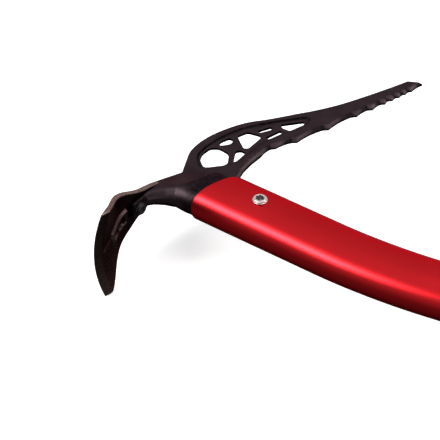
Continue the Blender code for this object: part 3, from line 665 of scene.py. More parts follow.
def body_top(px, py):
    """Half thickness of the forging's body, before the edges are rounded."""
    from_crease = 0.654 * (px + 52.7) - 0.757 * (py - 4.9)
    from_tube = 0.944 * (cut_x(py) - px)
    neck_end = NECK * np.sqrt(1 - (np.clip(py, 0.0, 15.0) / 15.4) ** 2)
    to_ridge = np.maximum(from_tube - neck_end, 0.0)
    rise = np.maximum(from_crease, 0.0)
    share = rise / (rise + 1.35 * to_ridge + 1e-6)
    slope = PICK_HALF + 7.9 * share ** 1.25
    far = 9.6 * (1 - (np.clip(py, 0.0, 15.1) / 15.1) ** OVAL_POWER) ** (1 / OVAL_POWER)
    far = np.minimum(far + 0.9 * to_ridge, PICK_HALF + 1.1 * np.maximum(15.2 - py, 0.0))
    arm = 4.4 + 0.26 * np.maximum(0.0, px + 56.0)
    top = smooth_min(smooth_min(slope, far, 1.2), arm, 2.4)
    underside = BODY_UNDER + [(cut_x(BODY_END_Y) - 0.3, BODY_END_Y)]
    inward = loop_distance(px, py, underside, closed=False)
    round_side = 9.6 * (1 - (1 - np.minimum(inward, 15.1) / 15.1) ** OVAL_POWER) ** (1 / OVAL_POWER)
    away = smooth_step((from_tube - 6.0) / 12.0)
    side = (1 - away) * round_side + away * (0.9 + 1.6 * inward)
    return np.maximum(smooth_min(top, side, 2.0), PICK_HALF)


def head_half(px, py, from_edge):
    """Half thickness of the whole forging at points of its outline's inside."""
    in_body = (py < 26.0) & (px < -20.0)
    half = np.where(in_body, body_top(px, py), PICK_HALF)
    into_pocket = np.where(is_inside(px, py, pocket), 1.0, -1.0) * loop_distance(px, py, pocket)
    half = half - (PICK_HALF - WEB_HALF) * smooth_step(into_pocket / 0.5 + 0.5)
    for centre, radius in scoops:
        away = np.hypot(px - centre.x, py - centre.y) - radius
        half = np.minimum(half, EDGE_HALF + EDGE_RISE * np.maximum(away, 0.0))
    from_throat = loop_distance(px, py, PICK_THROAT, closed=False)
    half = np.minimum(half, THROAT_HALF + EDGE_RISE * from_throat)
    radius = np.clip(0.30 * half, 0.12, 0.45)
    rim = np.clip(radius - from_edge, 0.0, radius)
    return half - (radius - np.sqrt(radius ** 2 - rim ** 2))


def in_plate(flat, loops):
    """Which points are inside the first loop and outside all others."""
    inside = is_inside(flat[:, 0], flat[:, 1], loops[0])
    for hole in loops[1:]:
        inside &= ~is_inside(flat[:, 0], flat[:, 1], hole)
    return inside


def edge_distance(flat, loops):
    return np.min([loop_distance(flat[:, 0], flat[:, 1], loop) for loop in loops], axis=0)


def lifted_plate(name, loops, extra, half_at, look):
    """Closed body over an outline with holes, as thick at each point as half_at says."""
    near = []
    for loop in loops:
        for (x, y), (nx, ny) in zip(loop, loop_sides(loop)):
            for off in (0.12, 0.28, 0.5, 1.0):
                near += [(x + nx * off, y + ny * off), (x - nx * off, y - ny * off)]
    loose = np.array(near + extra)
    loose = loose[in_plate(loose, loops)]
    loose = loose[edge_distance(loose, loops) > 0.09]
    cell = np.round(loose / 0.11).astype(int)
    _, first = np.unique(cell, axis=0, return_index=True)
    loose = loose[np.sort(first)]
    points = []
    edges = []
    for loop in loops:
        base = len(points)
        points += [Vector(p) for p in loop]
        edges += [(base + i, base + (i + 1) % len(loop)) for i in range(len(loop))]
    points += [Vector(p) for p in loose]
    made = geometry.delaunay_2d_cdt(points, edges, [], 0, 1e-5, False)
    flat = np.array([(p.x, p.y) for p in made[0]])
    faces = np.array([f for f in made[2] if len(f) == 3])
    faces = faces[in_plate(flat[faces].mean(axis=1), loops)]
    half = half_at(flat[:, 0], flat[:, 1], edge_distance(flat, loops))
    count = len(flat)
    top = [(x, y, z) for (x, y), z in zip(flat, half)]
    bottom = [(x, y, -z) for (x, y), z in zip(flat, half)]
    uses = {}
    for a, b, c in faces:
        for p, q in ((a, b), (b, c), (c, a)):
            uses[(p, q)] = uses.get((p, q), 0) + 1
    rows = [1.0, 0.7, -0.7, -1.0]
    border = [pair for pair in uses if (pair[1], pair[0]) not in uses]
    rim_points = sorted({p for pair in border for p in pair})
    at_row = {(p, 0): p for p in rim_points}
    at_row.update({(p, 3): p + count for p in rim_points})
    between = []
    for r in (1, 2):
        for p in rim_points:
            at_row[(p, r)] = 2 * count + len(between)
            between.append((flat[p][0], flat[p][1], half[p] * rows[r]))
    sides = [(at_row[(p, r)], at_row[(q, r)], at_row[(q, r + 1)], at_row[(p, r + 1)])
             for p, q in border for r in range(3)]
    every = [tuple(f) for f in faces.tolist()]
    every += [(a + count, c + count, b + count) for a, b, c in faces.tolist()]
    every += [tuple(int(v) for v in f) for f in sides]
    obj = make_object(name, top + bottom + between, every, look, PLATE_SHARP)
    body = bmesh.new()
    body.from_mesh(obj.data)
    loose_points = [v for v in body.verts if not v.link_faces]
    bmesh.ops.delete(body, geom=loose_points, context="VERTS")
    body.to_mesh(obj.data)
    body.free()
    return obj


def grid(low_x, high_x, low_y, high_y, step):
    found = []
    for j in range(int((high_y - low_y) / (step * 0.866)) + 1):
        for i in range(int((high_x - low_x) / step) + 1):
            found.append((low_x + (i + 0.5 * (j % 2)) * step, low_y + j * step * 0.866))
    return found


extra = grid(-62.0, -24.0, -35.0, 24.0, 0.75) + grid(-62.0, 6.0, 24.5, 148.0, 2.2)
for x, y in toothed:
    extra += [(x - off, y - 0.35 * off) for off in (0.7, 1.3, 1.9, 2.5, 3.1, 3.7)]
for off in (-0.62, -0.35, -0.18, 0.0, 0.18, 0.35, 0.62):
    extra += [(x + off * nx, y + off * ny) for (x, y), (nx, ny) in zip(pocket, loop_sides(pocket))]

head = lifted_plate("head", [outer] + holes, extra, head_half, FORGED)
tang_rings = [[(cut_x(a) - 1.6, a, b) for a, b in oval(TANG_HALF_DEPTH, TANG_HALF_WIDTH, 48)]]
for x, shrink in ((-8.0, 0.0), (13.0, 0.0), (15.0, 1.5)):
    section = oval(TANG_HALF_DEPTH - shrink, TANG_HALF_WIDTH - shrink, 48)
    tang_rings.append([(x, a, b) for a, b in section])
combine(head, loft("tang", tang_rings), "UNION", PLATE_SHARP)
drill(head, (0, 0), HEAD_BORE + 0.1, -14.0, 14.0, sharp=PLATE_SHARP)
drill(head, (0, ADZE_SCREW_Y), ADZE_SCREW_BORE, -62.0, -45.0, "x", sharp=PLATE_SHARP)


def head_marks(obj):
    """Edge wear with painted highlight on the gullet and throat bevels; painted shade in walls, gullets,
    the pocket's step and round the body.
    """
    at = positions(obj)
    px, py, pz = at[:, 0], at[:, 1], np.abs(at[:, 2])
    # Light wear on the sharpest edges.
    highlight_and_wear = 0.16 * edge_wear(obj, 0.8, 2.6, 1)
    painted_shade_share = np.zeros(len(at))
    # In each gullet the near part of the bevel gets a painted highlight, the far part painted shade.
    for k, ((centre, radius), (start, end)) in enumerate(zip(scoops, scoop_ends)):
        run = Vector(end) - Vector(start)
        along = ((px - start[0]) * run.x + (py - start[1]) * run.y) / run.length_squared
        away = np.hypot(px - centre.x, py - centre.y) - radius
        near = (along > -0.02) & (along < 1.12) & (away < 4.0)
        band = 1 - smooth_step((away - 0.7) / 1.1)
        first = (1 - smooth_step((along - 0.30) / 0.35)) * band * (pz > 0.3)
        last = smooth_step((along - 0.45) / 0.35) * (1 - smooth_step((away - 1.2) / 1.2))
        most = 0.75 if k >= TEETH_WEAK_HIGHLIGHT else 0.30
        highlight_and_wear = np.where(near, np.maximum(highlight_and_wear, most * first), highlight_and_wear)
        painted_shade_share = np.where(near, np.maximum(painted_shade_share, last), painted_shade_share)
    # Painted highlight along the throat's bevel.
    from_throat = loop_distance(px, py, PICK_THROAT, closed=False)
    beside = (1 - smooth_step((from_throat - 0.8) / 0.7)) * (pz > 0.6)
    highlight_and_wear = np.maximum(highlight_and_wear, 0.6 * beside)
    # Painted shade on the window walls and along the pocket's step.
    for hole in holes:
        painted_shade_share = np.maximum(painted_shade_share, 1 - smooth_step(loop_distance(px, py, hole) / 0.10))
    from_step = loop_distance(px, py, pocket)
    painted_shade_share = np.maximum(painted_shade_share, 1 - smooth_step((from_step - 0.30) / 0.50))
    # Painted shade over the body, strongest at the neck, damping the sheen the light puts there.
    from_tube = 0.944 * (cut_x(py) - px)
    body = 0.90 - 0.65 * smooth_step((from_tube - 6.0) / 12.0)
    in_body = np.maximum(smooth_step((py + 15.0) / 8.0), smooth_step((px + 42.0) / 8.0))
    in_body = in_body * (1 - smooth_step((py - 8.0) / 7.0))
    in_body = np.where((pz > PICK_HALF) | (py < 0.0), in_body, 0.0)
    painted_shade_share = np.maximum(painted_shade_share, body * in_body)
    mark(obj, "wear_and_highlight", highlight_and_wear)
    mark(obj, "painted_shade", painted_shade_share)


head_marks(head)
place(head, "axe", ["head_pick"])

# ---- adze
ADZE_LINE = [(-74.0, -41.6), (-70.6, -42.7), (-67.0, -43.8), (-63.6, -45.2), (-60.0, -47.2),
             (-56.5, -49.5), (-53.0, -51.7), (-48.0, -54.5), (-44.0, -56.1), (-39.0, -57.0),
             (-34.0, -57.15), (-10.8, -57.1)]
ADZE_WIDTH = [(-74.0, 25.9), (-70.6, 26.1), (-67.0, 26.17), (-63.6, 25.2), (-60.0, 23.2),
              (-53.0, 19.3), (-47.6, 17.0), (-43.7, 15.4), (-39.0, 13.4), (-35.0, 11.5),
              (-30.6, 9.2), (-25.4, 7.0), (-21.0, 5.9), (-17.0, 4.9), (-13.0, 3.9), (-10.8, 3.4)]
ADZE_HALF = 1.6
ADZE_ARCH = 2.6
EDGE_BULGE = 4.0
RIM = 0.7  # radius of the blade's long edges
EDGE_BEVEL = 5.0  # width of the ground band behind the cutting edge
EDGE_Y = -70.7
BOW_START = -52.0  # from here to the edge the blade bows outward
BOW_RUN = 19.0


def eased(pairs, at):
    """Smooth curve through (position, value) pairs."""
    p = np.array([a for a, _ in pairs])
    v = np.array([b for _, b in pairs])
    slope = np.gradient(v, p)
    i = int(np.clip(np.searchsorted(p, at) - 1, 0, len(p) - 2))
    wide = p[i + 1] - p[i]
    t = float(np.clip((at - p[i]) / wide, 0.0, 1.0))
    return float((2 * t ** 3 - 3 * t ** 2 + 1) * v[i] + (t ** 3 - 2 * t ** 2 + t) * wide * slope[i]
                 + (3 * t ** 2 - 2 * t ** 3) * v[i + 1] + (t ** 3 - t ** 2) * wide * slope[i + 1])


def step_box(y, z, high_y, low_y, half, soft):
    """1 inside a soft-edged rectangle on the blade, 0 outside."""
    along = smooth_step((high_y - y) / soft + 0.5) * smooth_step((y - low_y) / soft + 0.5)
    return along * smooth_step((half - abs(z)) / soft + 0.5)


def adze_relief(y, z):
    """Raised frame with two pockets down the middle of the underside."""
    rib = 1.7 * step_box(y, z, -38.6, -57.4, 4.2 - 0.5 * max(0.0, (-y - 50.0) / 7.0), 1.1)
    rib += 0.5 * step_box(y, z, -57.0, -66.0, 1.6, 1.6)
    deep = 1.65 * step_box(y, z, -40.8, -48.6, 2.5, 0.5)
    deep += 1.5 * step_box(y, z, -50.6, -55.2, 2.1, 0.5)
    return rib - deep


def adze_point(y, across, lift):
    """Point of the blade: across is z there, lift is height above its middle surface."""
    half = eased(ADZE_WIDTH, y)
    k = across / half
    outward = float(smooth_step((-y - 38.0) / 30.0))
    lead = float(smooth_step((BOW_START - y) / BOW_RUN))
    mid = eased(ADZE_LINE, y) - ADZE_ARCH * outward * (1 - k * k)
    return (mid + lift, y - EDGE_BULGE * lead * (1 - k * k), across)


ACROSS = 110
EASE = [(math.sin(0.1 * math.pi * k), math.cos(0.1 * math.pi * k)) for k in range(6)]
adze_stations = list(np.linspace(-11.1, -37.0, 40)) + list(np.linspace(-37.4, -66.8, 90))
adze_stations += [-67.3, -67.8, -68.3, -68.8, -69.3, -69.8, -70.2, -70.5]
rings = []
for y in adze_stations:
    half = eased(ADZE_WIDTH, y)
    root = float(smooth_step((-y - 10.5) / 5.0))
    taper = max(0.0, (EDGE_Y - y + EDGE_BEVEL) / EDGE_BEVEL)
    top = ADZE_HALF - (2 * ADZE_HALF - 0.5) * taper
    bottom = -ADZE_HALF + 0.6 * (1 - root)
    corner = min(RIM, 0.45 * (top - bottom))
    side = half - corner
    high = top - corner
    low = bottom + corner
    row = [side * (-1 + 2 * i / ACROSS) for i in range(ACROSS + 1)]
    ring = [(across, top + (adze_relief(y, across) if taper == 0 else 0.0)) for across in row]
    ring += [(side + corner * s, high + corner * c) for s, c in EASE[1:]]
    ring += [(side + corner * c, low - corner * s) for s, c in EASE[:5]]
    ring += [(-across, bottom) for across in row]
    ring += [(-side - corner * s, low - corner * c) for s, c in EASE[1:]]
    ring += [(-side - corner * c, high + corner * s) for s, c in EASE[:5]]
    rings.append([adze_point(y, across, lift) for across, lift in ring])
adze = loft("adze_blade", rings, ADZE_BLACK, 50.0)
drill(adze, (0, ADZE_SCREW_Y), ADZE_SCREW_BORE, -64.0, -45.0, "x", sharp=50.0)
at = positions(adze)
wide = np.array([eased(ADZE_WIDTH, y) for y in at[:, 1]])
bowed = EDGE_BULGE * smooth_step((BOW_START - at[:, 1]) / BOW_RUN) * (1 - (at[:, 2] / wide) ** 2)
behind_edge = at[:, 1] - EDGE_Y + bowed
# Lighter along the long rims: rubbed metal, with painted highlight for the light the rim catches; the
# ground band and sharpest edges are worn.
highlight_and_wear = smooth_step((np.abs(at[:, 2]) - wide + 1.1) / 0.5)
honed = 0.22 * smooth_step((EDGE_BEVEL + 0.2 - behind_edge) / 0.6)
mark(adze, "wear_and_highlight", np.maximum(np.maximum(highlight_and_wear, honed), 0.25 * edge_wear(adze, 0.5, 1.6)))
place(adze, "axe", ["adze"])


# ---- bolts, nuts, pins
TURNED = 96  # points round a bolt
THREAD_PITCH = 0.7
THREAD_DEPTH = 0.22
NUT_BORE_DEPTH = 5.5
HAIR = 0.02  # radius of the tiny flat that closes a turned end


def six_lobe(radius, depth):
    ring = []
    for i in range(TURNED):
        angle = 2 * math.pi * i / TURNED
        r = radius - depth * 0.5 * (1 - math.cos(6 * angle))
        ring.append((r * math.cos(angle), r * math.sin(angle)))
    return ring


def facet_ring(flat, corner):
    """Hexagon with rounded corners."""
    ring = []
    for i in range(TURNED):
        angle = 2 * math.pi * i / TURNED
        inside = (angle % (math.pi / 3)) - math.pi / 6
        r = min(flat / math.cos(inside), corner)
        ring.append((r * math.cos(angle), r * math.sin(angle)))
    return ring


def fastener(name, seat, tip, sign, flat, corner, shank, socket, look, centre, facets=True,
             bore=None, tall=1.0, axis="z"):
    """Bolt or sleeve nut with a six-lobe socket; sign is the side that its head faces."""
    length = abs(tip - seat)
    floor = tall - 0.75
    shape = [(circle(HAIR, TURNED), floor), (six_lobe(socket - 0.12, 0.5), floor),
             (six_lobe(socket, 0.5), tall - 0.10), (six_lobe(socket + 0.06, 0.45), tall - 0.03)]
    stem = [(shank + 0.15, 0.0), (shank, -0.15)]
    if bore:
        stem += [(shank, 0.3 - length), (shank - 0.3, -length), (bore + 0.2, -length),
                 (bore, 0.2 - length), (bore, -NUT_BORE_DEPTH), (HAIR, -NUT_BORE_DEPTH)]
    else:
        for k in range(int((length - 1.2) / THREAD_PITCH)):
            down = -0.6 - THREAD_PITCH * k
            stem += [(shank, down), (shank - THREAD_DEPTH, down - THREAD_PITCH / 2)]
        stem += [(shank, 0.5 - length), (shank - 0.4, -length), (HAIR, -length)]
    crown = [(socket + 0.22, tall), (corner - 0.70, tall), (corner - 0.52, tall - 0.06),
             (corner - 0.42, tall - 0.16), (corner - 0.42, tall - 0.42)]
    shape += [(circle(radius, TURNED), height) for radius, height in crown]
    for grow, height in ((-0.18, tall - 0.50), (-0.04, tall - 0.60), (0.0, tall - 0.72), (0.0, 0.12),
                         (-0.12, 0.0)):
        ring = facet_ring(flat + grow, corner + grow) if facets else circle(corner + grow, TURNED)
        shape.append((ring, height))
    shape += [(circle(radius, TURNED), height) for radius, height in stem]
    rings = []
    for ring, height in shape:
        level = seat + sign * height
        if axis == "z":
            rings.append([(centre[0] + x, centre[1] + y, level) for x, y in ring])
        else:
            rings.append([(level, centre[1] + x, y) for x, y in ring])
    made = loft(name, rings, look, 32.0)
    at = positions(made)
    if axis == "z":
        height, out = at[:, 2], np.hypot(at[:, 0] - centre[0], at[:, 1] - centre[1])
    else:
        height, out = at[:, 0], np.hypot(at[:, 1] - centre[1], at[:, 2])
    above = sign * (height - seat)
    # Painted shade inside the socket: its floor and walls take the dark marked colour.
    mark(made, "painted_shade", ((above > 0.05) & (above < tall - 0.06) & (out < socket + 0.05)).astype(float))
    return made


def ring_washer(name, centre, low, high, inner, outer, look, axis="z"):
    soft = 0.3 * (high - low)
    profile = [(low + soft, inner), (low, inner + soft), (low, outer - soft), (low + soft, outer),
               (high - soft, outer), (high, outer - soft), (high, inner + soft), (high - soft, inner)]
    return turned(name, profile, centre, axis, look, 72, closed=True, sharp=50.0)


def pin(name, centre, half, radius):
    soft = 0.35
    profile = [(-half, HAIR), (-half, radius - soft)]
    profile += [(-half + soft * (1 - math.cos(0.5 * math.pi * k / 4)),
                 radius - soft + soft * math.sin(0.5 * math.pi * k / 4)) for k in range(1, 5)]
    profile += [(-h, r) for h, r in reversed(profile)]
    return turned(name, profile, centre, "z", BRIGHT, sharp=50.0)


HEAD_SEAT = 11.7
SPIKE_SEAT = 10.5
spike_bolt_at = shaft_point(*SPIKE_BOLT)
rest_pin_at = shaft_point(*REST_PIN)
lever_pin_at = shaft_point(TRIGGER_S, LEVER_PIN_Y)
head_bolt = fastener("head_bolt_fine", HEAD_SEAT, -5.0, 1, 3.3, 3.62, 1.8, 2.4, BRIGHT, (0, 0))
head_nut = fastener("head_nut_fine", -HEAD_SEAT, 9.0, -1, 3.3, 3.62, 2.7, 2.4, BRIGHT, (0, 0),
                    bore=2.05)
upper = ring_washer("washer_upper_fine", (0, 0), 11.15, 11.55, 2.2, 3.8, BRIGHT)
lower = ring_washer("washer_lower_fine", (0, 0), -11.55, -11.15, 2.95, 3.8, BRIGHT)
adze_screw = fastener("adze_screw_fine", -52.5, -58.2, 1, 3.0, 3.1, 2.0, 1.7, OXIDE,
                      (0, ADZE_SCREW_Y), facets=False, tall=1.5, axis="x")
adze_ring = ring_washer("adze_washer_fine", (0, ADZE_SCREW_Y), -53.1, -52.7, 2.3, 3.4, OXIDE, "x")
spike_bolt = fastener("spike_bolt_fine", SPIKE_SEAT, -4.0, 1, 4.0, 4.2, 1.8, 2.3, BRIGHT,
                      spike_bolt_at, facets=False)
spike_nut = fastener("spike_nut_fine", -SPIKE_SEAT, 8.0, -1, 4.0, 4.2, 3.1, 2.3, BRIGHT,
                     spike_bolt_at, facets=False, bore=2.1)
pommel_pin = pin("pommel_pin_fine", pin_at, 10.7, 1.6)
rest_pin = pin("rest_pin_fine", rest_pin_at, 10.4, 2.0)
lever_pin = pin("lever_pin_fine", lever_pin_at, 8.4, 1.2)
fixings = {
    "head_bolt": head_bolt, "head_sleeve_nut": head_nut, "head_washer_upper": upper,
    "head_washer_lower": lower, "adze_screw": adze_screw, "adze_washer": adze_ring,
    "spike_bolt": spike_bolt, "spike_sleeve_nut": spike_nut, "pommel_pin": pommel_pin,
    "hand_rest_pin": rest_pin, "trigger_lever_pin": lever_pin,
}
for node, piece in fixings.items():
    body = "trigger" if piece == lever_pin else "axe"
    place(piece, body, [node])

# ---- rubber grip
GRIP_ROUND = 144
GRIP_STEPS = 300
GROOVE_LEAN = 0.55
GROOVE_STEP = 3.2
GROOVE_DEPTH = 0.40


def grip_ring(t):
    """Grip section: swells between the fingers, with a raised lattice on its sides."""
    s = GRIP_START + (GRIP_END - GRIP_START) * t
    ends = min(1.0, min(t, 1 - t) / 0.05)
    full = 0.45 + 0.55 * math.sin(0.5 * math.pi * ends)
    swell = 0.9 * math.cos(2 * math.pi * 4.0 * t) * ends
    thick = 0.3 + 2.0 * full
    base = oval(SHAFT_HALF_DEPTH + thick, SHAFT_HALF_WIDTH + thick, GRIP_ROUND)
    inside = min(1.0, max(0.0, (min(t, 1 - t) - 0.045) / 0.012))
    ring = []
    for i, (a, b) in enumerate(base):
        around = 90.0 * (i + 0.5) / GRIP_ROUND
        groove = 0.0
        for lean in (GROOVE_LEAN, -GROOVE_LEAN):
            wave = math.sin(math.pi * (around + lean * (s - GRIP_START)) / GROOVE_STEP)
            groove += max(0.0, 1 - abs(wave) / 0.34)
        dent = GROOVE_DEPTH * min(1.0, groove) * inside
        if a > 0:
            a += swell * float(smooth_step(a / 16.0))
        shrink = 1 - dent / math.hypot(a, b)
        ring.append(shaft_point(s, a * shrink, b * shrink))
    return ring


grip_rings = [grip_ring(k / GRIP_STEPS) for k in range(GRIP_STEPS + 1)]
for k in range(GRIP_STEPS, -1, -12):
    s = GRIP_START + (GRIP_END - GRIP_START) * k / GRIP_STEPS
    grip_rings.append(shaft_ring(s, SHAFT_HALF_DEPTH + 0.25, SHAFT_HALF_WIDTH + 0.25, GRIP_ROUND))
grip = loft("grip", grip_rings, RUBBER, 60.0, closed=True)
place(grip, "axe", ["grip_sleeve"])

# ---- lower end
POMMEL = [(390.2, 17.2), (390.8, 17.7), (392.0, 18.1), (395.0, 18.35), (398.0, 18.4), (402.0, 18.2),
          (406.0, 17.8), (410.0, 17.05), (414.0, 16.0), (418.0, 14.7), (421.0, 13.4), (424.0, 12.1),
          (426.5, 11.0), (427.4, 10.5), (428.0, 9.8)]
pommel_rings = []
for s, deep in POMMEL:
    wide = deep * (0.742 - 0.082 * float(smooth_step((s - 412.0) / 16.0)))
    pommel_rings.append(shaft_ring(s, deep, wide, 96))
pommel = loft("pommel_fine", pommel_rings, NYLON)
spigot = loft("spigot", [shaft_ring(s, TANG_HALF_DEPTH - shrink, TANG_HALF_WIDTH - shrink, 64)
                         for s, shrink in ((370.0, 1.2), (372.0, 0.0), (391.0, 0.0))])
combine(pommel, spigot, "UNION")
cut_slot(pommel, rounded([(395.6, 6.2), (395.6, 26.0), (436.0, 26.0), (436.0, 6.2)], 2.0), 5.2)
cut_slot(pommel, [(403.0, -7.6), (403.0, 4.6), (436.0, 4.6), (436.0, -7.6)], 2.3)
for centre, radius, low, high in ((rest_pin_at, 2.3, -20.0, 20.0), (spike_bolt_at, 3.4, -20.0, 20.0),
                                  (spike_bolt_at, 4.9, 10.2, 20.0), (spike_bolt_at, 4.9, -20.0, -10.2),
                                  (pin_at, PIN_BORE, -12.0, 12.0)):
    drill(pommel, centre, radius, low, high)
cut_grooves(pommel, [(s, -20.2) for s in (394.6, 397.4, 400.2, 403.0)], 1.9, 24, 20.0)
soften(pommel, 0.36, 5)
place(pommel, "axe", ["pommel"])

SPIKE_TIP = (458.0, 0.4)
SPIKE_HALF = 2.0
SPIKE_RIM = 0.45
spike_outline = [(404.0, -7.0), (428.6, -7.0), (429.6, -9.6), (438.0, -10.6), (445.0, -8.6),
                 (451.0, -4.6), (457.0, -0.8), (457.8, 0.4), (457.0, 1.4), (450.0, 4.6),
                 (444.0, 7.2), (437.0, 8.6), (430.0, 7.8), (428.6, 4.0), (404.0, 4.0)]
spike_loop = [shaft_point(s, y)[:2] for s, y in rounded(spike_outline, 1.6)]
spike_loop = resampled(spike_loop, 0.8)
eye_at = shaft_point(437.5, -1.0)
eye_loop = [(eye_at[0] + a, eye_at[1] + b) for a, b in circle(5.5, 56)]
bolt_loop = [(spike_bolt_at[0] + a, spike_bolt_at[1] + b) for a, b in circle(3.4, 36)]
tip_at = Vector(shaft_point(*SPIKE_TIP)[:2])
along = Vector((math.cos(BEND_ANGLE), math.sin(BEND_ANGLE)))


def spike_half(px, py, from_edge):
    """Flat plate whose last stretch is ground to a point."""
    left = (tip_at.x - px) * along.x + (tip_at.y - py) * along.y
    ground = 0.45 + 0.85 * smooth_step(left / 9.0) * np.minimum(from_edge, 1.9)
    half = np.full(len(px), SPIKE_HALF)
    half = np.where(left < 12.0, smooth_min(ground, half, 0.3), SPIKE_HALF)
    rim = np.clip(SPIKE_RIM - from_edge, 0.0, SPIKE_RIM)
    eased_rim = SPIKE_RIM - np.sqrt(SPIKE_RIM ** 2 - rim ** 2)
    return half - eased_rim * np.minimum(half / SPIKE_HALF, 1.0)


spike_extra = [shaft_point(404.0 + 0.9 * i, -10.5 + 0.9 * j)[:2] for i in range(60) for j in range(22)]
spike_loops = [spike_loop, eye_loop, bolt_loop]
spike = lifted_plate("spike_fine", spike_loops, spike_extra, spike_half, SPIKE_STEEL)
place(spike, "axe", ["spike"])

rest_outline = arc(REST_PIN, (5.0, 5.0), 180.0, 180.0, 24)
rest_outline += curve_through([(407.2, 18.0), (408.4, 26.0), (408.0, 34.0), (405.0, 41.0),
                               (399.6, 46.4), (395.2, 48.6)], 1.0)
rest_outline += curve_through([(393.6, 47.2), (396.4, 42.6), (399.8, 36.0), (400.6, 28.0),
                               (398.6, 20.0)], 1.0)
rest = low_prism("hand_rest_fine", rest_outline, -4.7, 4.7, NYLON)
drill(rest, rest_pin_at, 2.3, -8.0, 8.0)
cut_grooves(rest, [(399.7, 24.0), (399.5, 29.0), (398.5, 34.0), (396.7, 38.6)], 0.9, 20, 6.0)
soften(rest, 0.30, 6)
place(rest, "hand_rest", ["hand_rest"])

# ---- sliding finger rest
PAD_SLOT = [(-5.2, -14.0), (-5.2, -19.4), (5.2, -19.4), (5.2, -14.0)]
LINER_ENDS = [-14.5, -14.2, -7.0, 0.0, 7.0, 14.2, 14.5]


def from_collar(points):
    """(distance along the shaft, across) of points given from the middle of the finger rest."""
    return [(TRIGGER_S + s, y) for s, y in points]


collar = [(-15.0, 17.6), (-14.6, 18.1), (-13.6, 18.6), (-11.0, 18.8), (-5.0, 18.8), (0.0, 18.8),
          (5.0, 18.8), (11.0, 18.8), (13.6, 18.6), (14.6, 18.1), (15.0, 17.6)]
trigger = loft("trigger_fine", [shaft_ring(s, a, a - 4.6, 96) for s, a in from_collar(collar)], NYLON)
hook = curve_through([(14.0, 16.5), (13.2, 24.0), (9.2, 33.0), (2.4, 39.4), (-3.6, 42.2)], 1.0)
hook += curve_through([(-5.8, 41.4), (-5.6, 39.0)], 1.0)
hook += curve_through([(-0.4, 35.6), (3.6, 30.0), (4.4, 24.4), (2.0, 20.8), (-4.0, 18.8),
                       (-10.0, 16.5)], 1.0)
combine(trigger, low_prism("hook", from_collar(hook), -5.4, 5.4), "UNION")
ear = [(-4.6, -15.0), (-4.6, LEVER_PIN_Y)] + arc((0.0, LEVER_PIN_Y), (4.6, 4.0), 180.0, 180.0, 10)[1:-1]
ear += [(4.6, LEVER_PIN_Y), (4.6, -15.0)]
for near, far in ((4.7, 8.2), (-8.2, -4.7)):
    combine(trigger, low_prism("ear", from_collar(ear), near, far), "UNION")
bore = [shaft_ring(TRIGGER_S + s, 17.0, 12.4, 96) for s in (-17.0, -5.0, 5.0, 17.0)]
combine(trigger, loft("cut", bore), "DIFFERENCE")
cut_slot(trigger, from_collar(PAD_SLOT), 4.2)
drill(trigger, lever_pin_at, 1.5, -12.0, 12.0)
soften(trigger, 0.33, 5)
place(trigger, "trigger", ["trigger_body"])

liner_rings = [shaft_ring(TRIGGER_S + s, 16.75, 12.15, 96) for s in LINER_ENDS]
liner_rings += [shaft_ring(TRIGGER_S + s, 15.8, 11.3, 96) for s in reversed(LINER_ENDS)]
liner = loft("liner_fine", liner_rings, RUBBER, 40.0, closed=True)
cut_slot(liner, from_collar(PAD_SLOT), 4.2)
place(liner, "trigger", ["trigger_liner"])

pad = rounded([(-4.8, -15.9), (-4.8, -17.6), (4.8, -17.6), (4.8, -15.9)], 0.4)
brass = low_prism("pad_fine", from_collar(pad), -3.8, 3.8, BRASS)
place(brass, "trigger", ["trigger_pad"])

lever_outline = arc((0.0, LEVER_PIN_Y), (3.5, 3.5), 60.0, 200.0, 20)
lever_outline += curve_through([(6.0, -25.0), (14.0, -24.8), (22.0, -24.2), (28.0, -22.4)], 0.8)
lever_outline += curve_through([(29.5, -20.8), (28.4, -19.9), (22.0, -20.6), (14.0, -20.6),
                                (6.0, -19.8)], 0.8)
lever = low_prism("lever_fine", from_collar(lever_outline), -3.85, 3.85, LEVER_RED)
drill(lever, lever_pin_at, 1.5, -8.0, 8.0)
ribs = [(s, -25.0 + 0.12 * (s - 14.0)) for s in (15.0, 17.6, 20.2, 22.8, 25.4)]
cut_grooves(lever, from_collar(ribs), 0.8, 20, 6.0)
soften(lever, 0.22, 5)
place(lever, "lever", ["trigger_lever"])


# ---- floor, light, camera
FLOOR_HALF = 3.0
FLOOR_CELLS = 40
FLOOR_DROP = 0.0004
# grey of the backdrop by height: 0 is straight down, 0.5 the horizon and 1 straight up
NEAR_GREYS = [(0.0, 0.05), (0.25, 0.20), (0.40, 0.44), (0.60, 0.50), (0.80, 0.48), (1.0, 1.0)]
FAR_GREYS = [(0.0, 0.03), (0.20, 0.05), (0.29, 0.36), (0.40, 0.85), (0.62, 0.95), (0.76, 0.64),
             (1.0, 1.0)]
ELEVATION = math.radians(39.0)
TURN = math.radians(36.46)
EYE = Vector((449.861, -642.486, 633.272)) * MM
SENSOR_WIDTH = 36.0
LENS_PER_SENSOR = 50 / 11


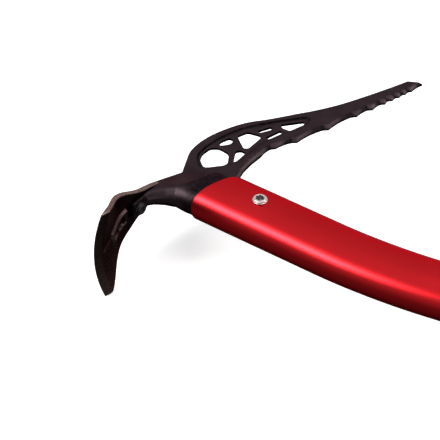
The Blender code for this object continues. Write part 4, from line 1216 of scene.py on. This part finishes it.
def stage_floor():
    """Wide pale floor; the axe doesn't mirror it."""
    mesh = bpy.data.meshes.new("floor")
    row = FLOOR_CELLS + 1
    steps = [FLOOR_HALF * (2 * k / FLOOR_CELLS - 1) for k in range(row)]
    points = [(x, y, -FLOOR_DROP) for y in steps for x in steps]
    faces = [(r * row + c, r * row + c + 1, (r + 1) * row + c + 1, (r + 1) * row + c)
             for r in range(FLOOR_CELLS) for c in range(FLOOR_CELLS)]
    mesh.from_pydata(points, [], faces)
    mesh.materials.append(PLAIN_FLOOR)
    floor = bpy.data.objects.new("floor", mesh)
    bpy.context.scene.collection.objects.link(floor)
    floor.visible_glossy = False
    floor.visible_diffuse = False
    floor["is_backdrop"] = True


def area_light(name, where, aim, size, power):
    data = bpy.data.lights.new(name, "AREA")
    data.energy = power
    data.size = size
    lamp = bpy.data.objects.new(name, data)
    lamp.location = where
    lamp.rotation_mode = "QUATERNION"
    lamp.rotation_quaternion = (Vector(aim) - Vector(where)).to_track_quat("-Z", "Y")
    bpy.context.scene.collection.objects.link(lamp)


stage_floor()
area_light("key", (-0.97, -1.22, 1.00), (-0.10, 0.0, 0.02), 0.8, 34.0)
area_light("fill", (0.6, 0.9, 1.9), (0.0, 0.0, 0.0), 1.6, 16.0)
world = bpy.data.worlds.new("studio")
world.use_nodes = True
sky = world.node_tree
direction = add_node(sky, "ShaderNodeTexCoord").outputs["Generated"]
split = add_node(sky, "ShaderNodeSeparateXYZ", {"Vector": direction})
height = map_range(sky, split.outputs["Z"], -1.0, 1.0)
near_side = colour_ramp(sky, height, [(at, (grey, grey, grey)) for at, grey in NEAR_GREYS])
far_side = colour_ramp(sky, height, [(at, (grey, grey, grey)) for at, grey in FAR_GREYS])
to_far = map_range(sky, split.outputs["Y"], -0.35, 0.45)
background = sky.nodes["Background"]
sky.links.new(mix_colours(sky, to_far, near_side, far_side), background.inputs["Color"])
background.inputs["Strength"].default_value = 1.0
bpy.context.scene.world = world
bpy.context.scene.view_settings.view_transform = "Standard"

level = Vector((-math.sin(TURN), math.cos(TURN), 0.0))
forward = level * math.cos(ELEVATION) - Vector((0, 0, 1)) * math.sin(ELEVATION)
lens = bpy.data.cameras.new("camera")
lens.sensor_width = SENSOR_WIDTH
lens.lens = SENSOR_WIDTH * LENS_PER_SENSOR
lens.clip_start = 0.05
lens.clip_end = 20.0
camera = bpy.data.objects.new("camera", lens)
camera.location = ORIGIN + EYE
camera.rotation_mode = "QUATERNION"
camera.rotation_quaternion = forward.to_track_quat("-Z", "Y")
bpy.context.scene.collection.objects.link(camera)
bpy.context.scene.camera = camera

low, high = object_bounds()
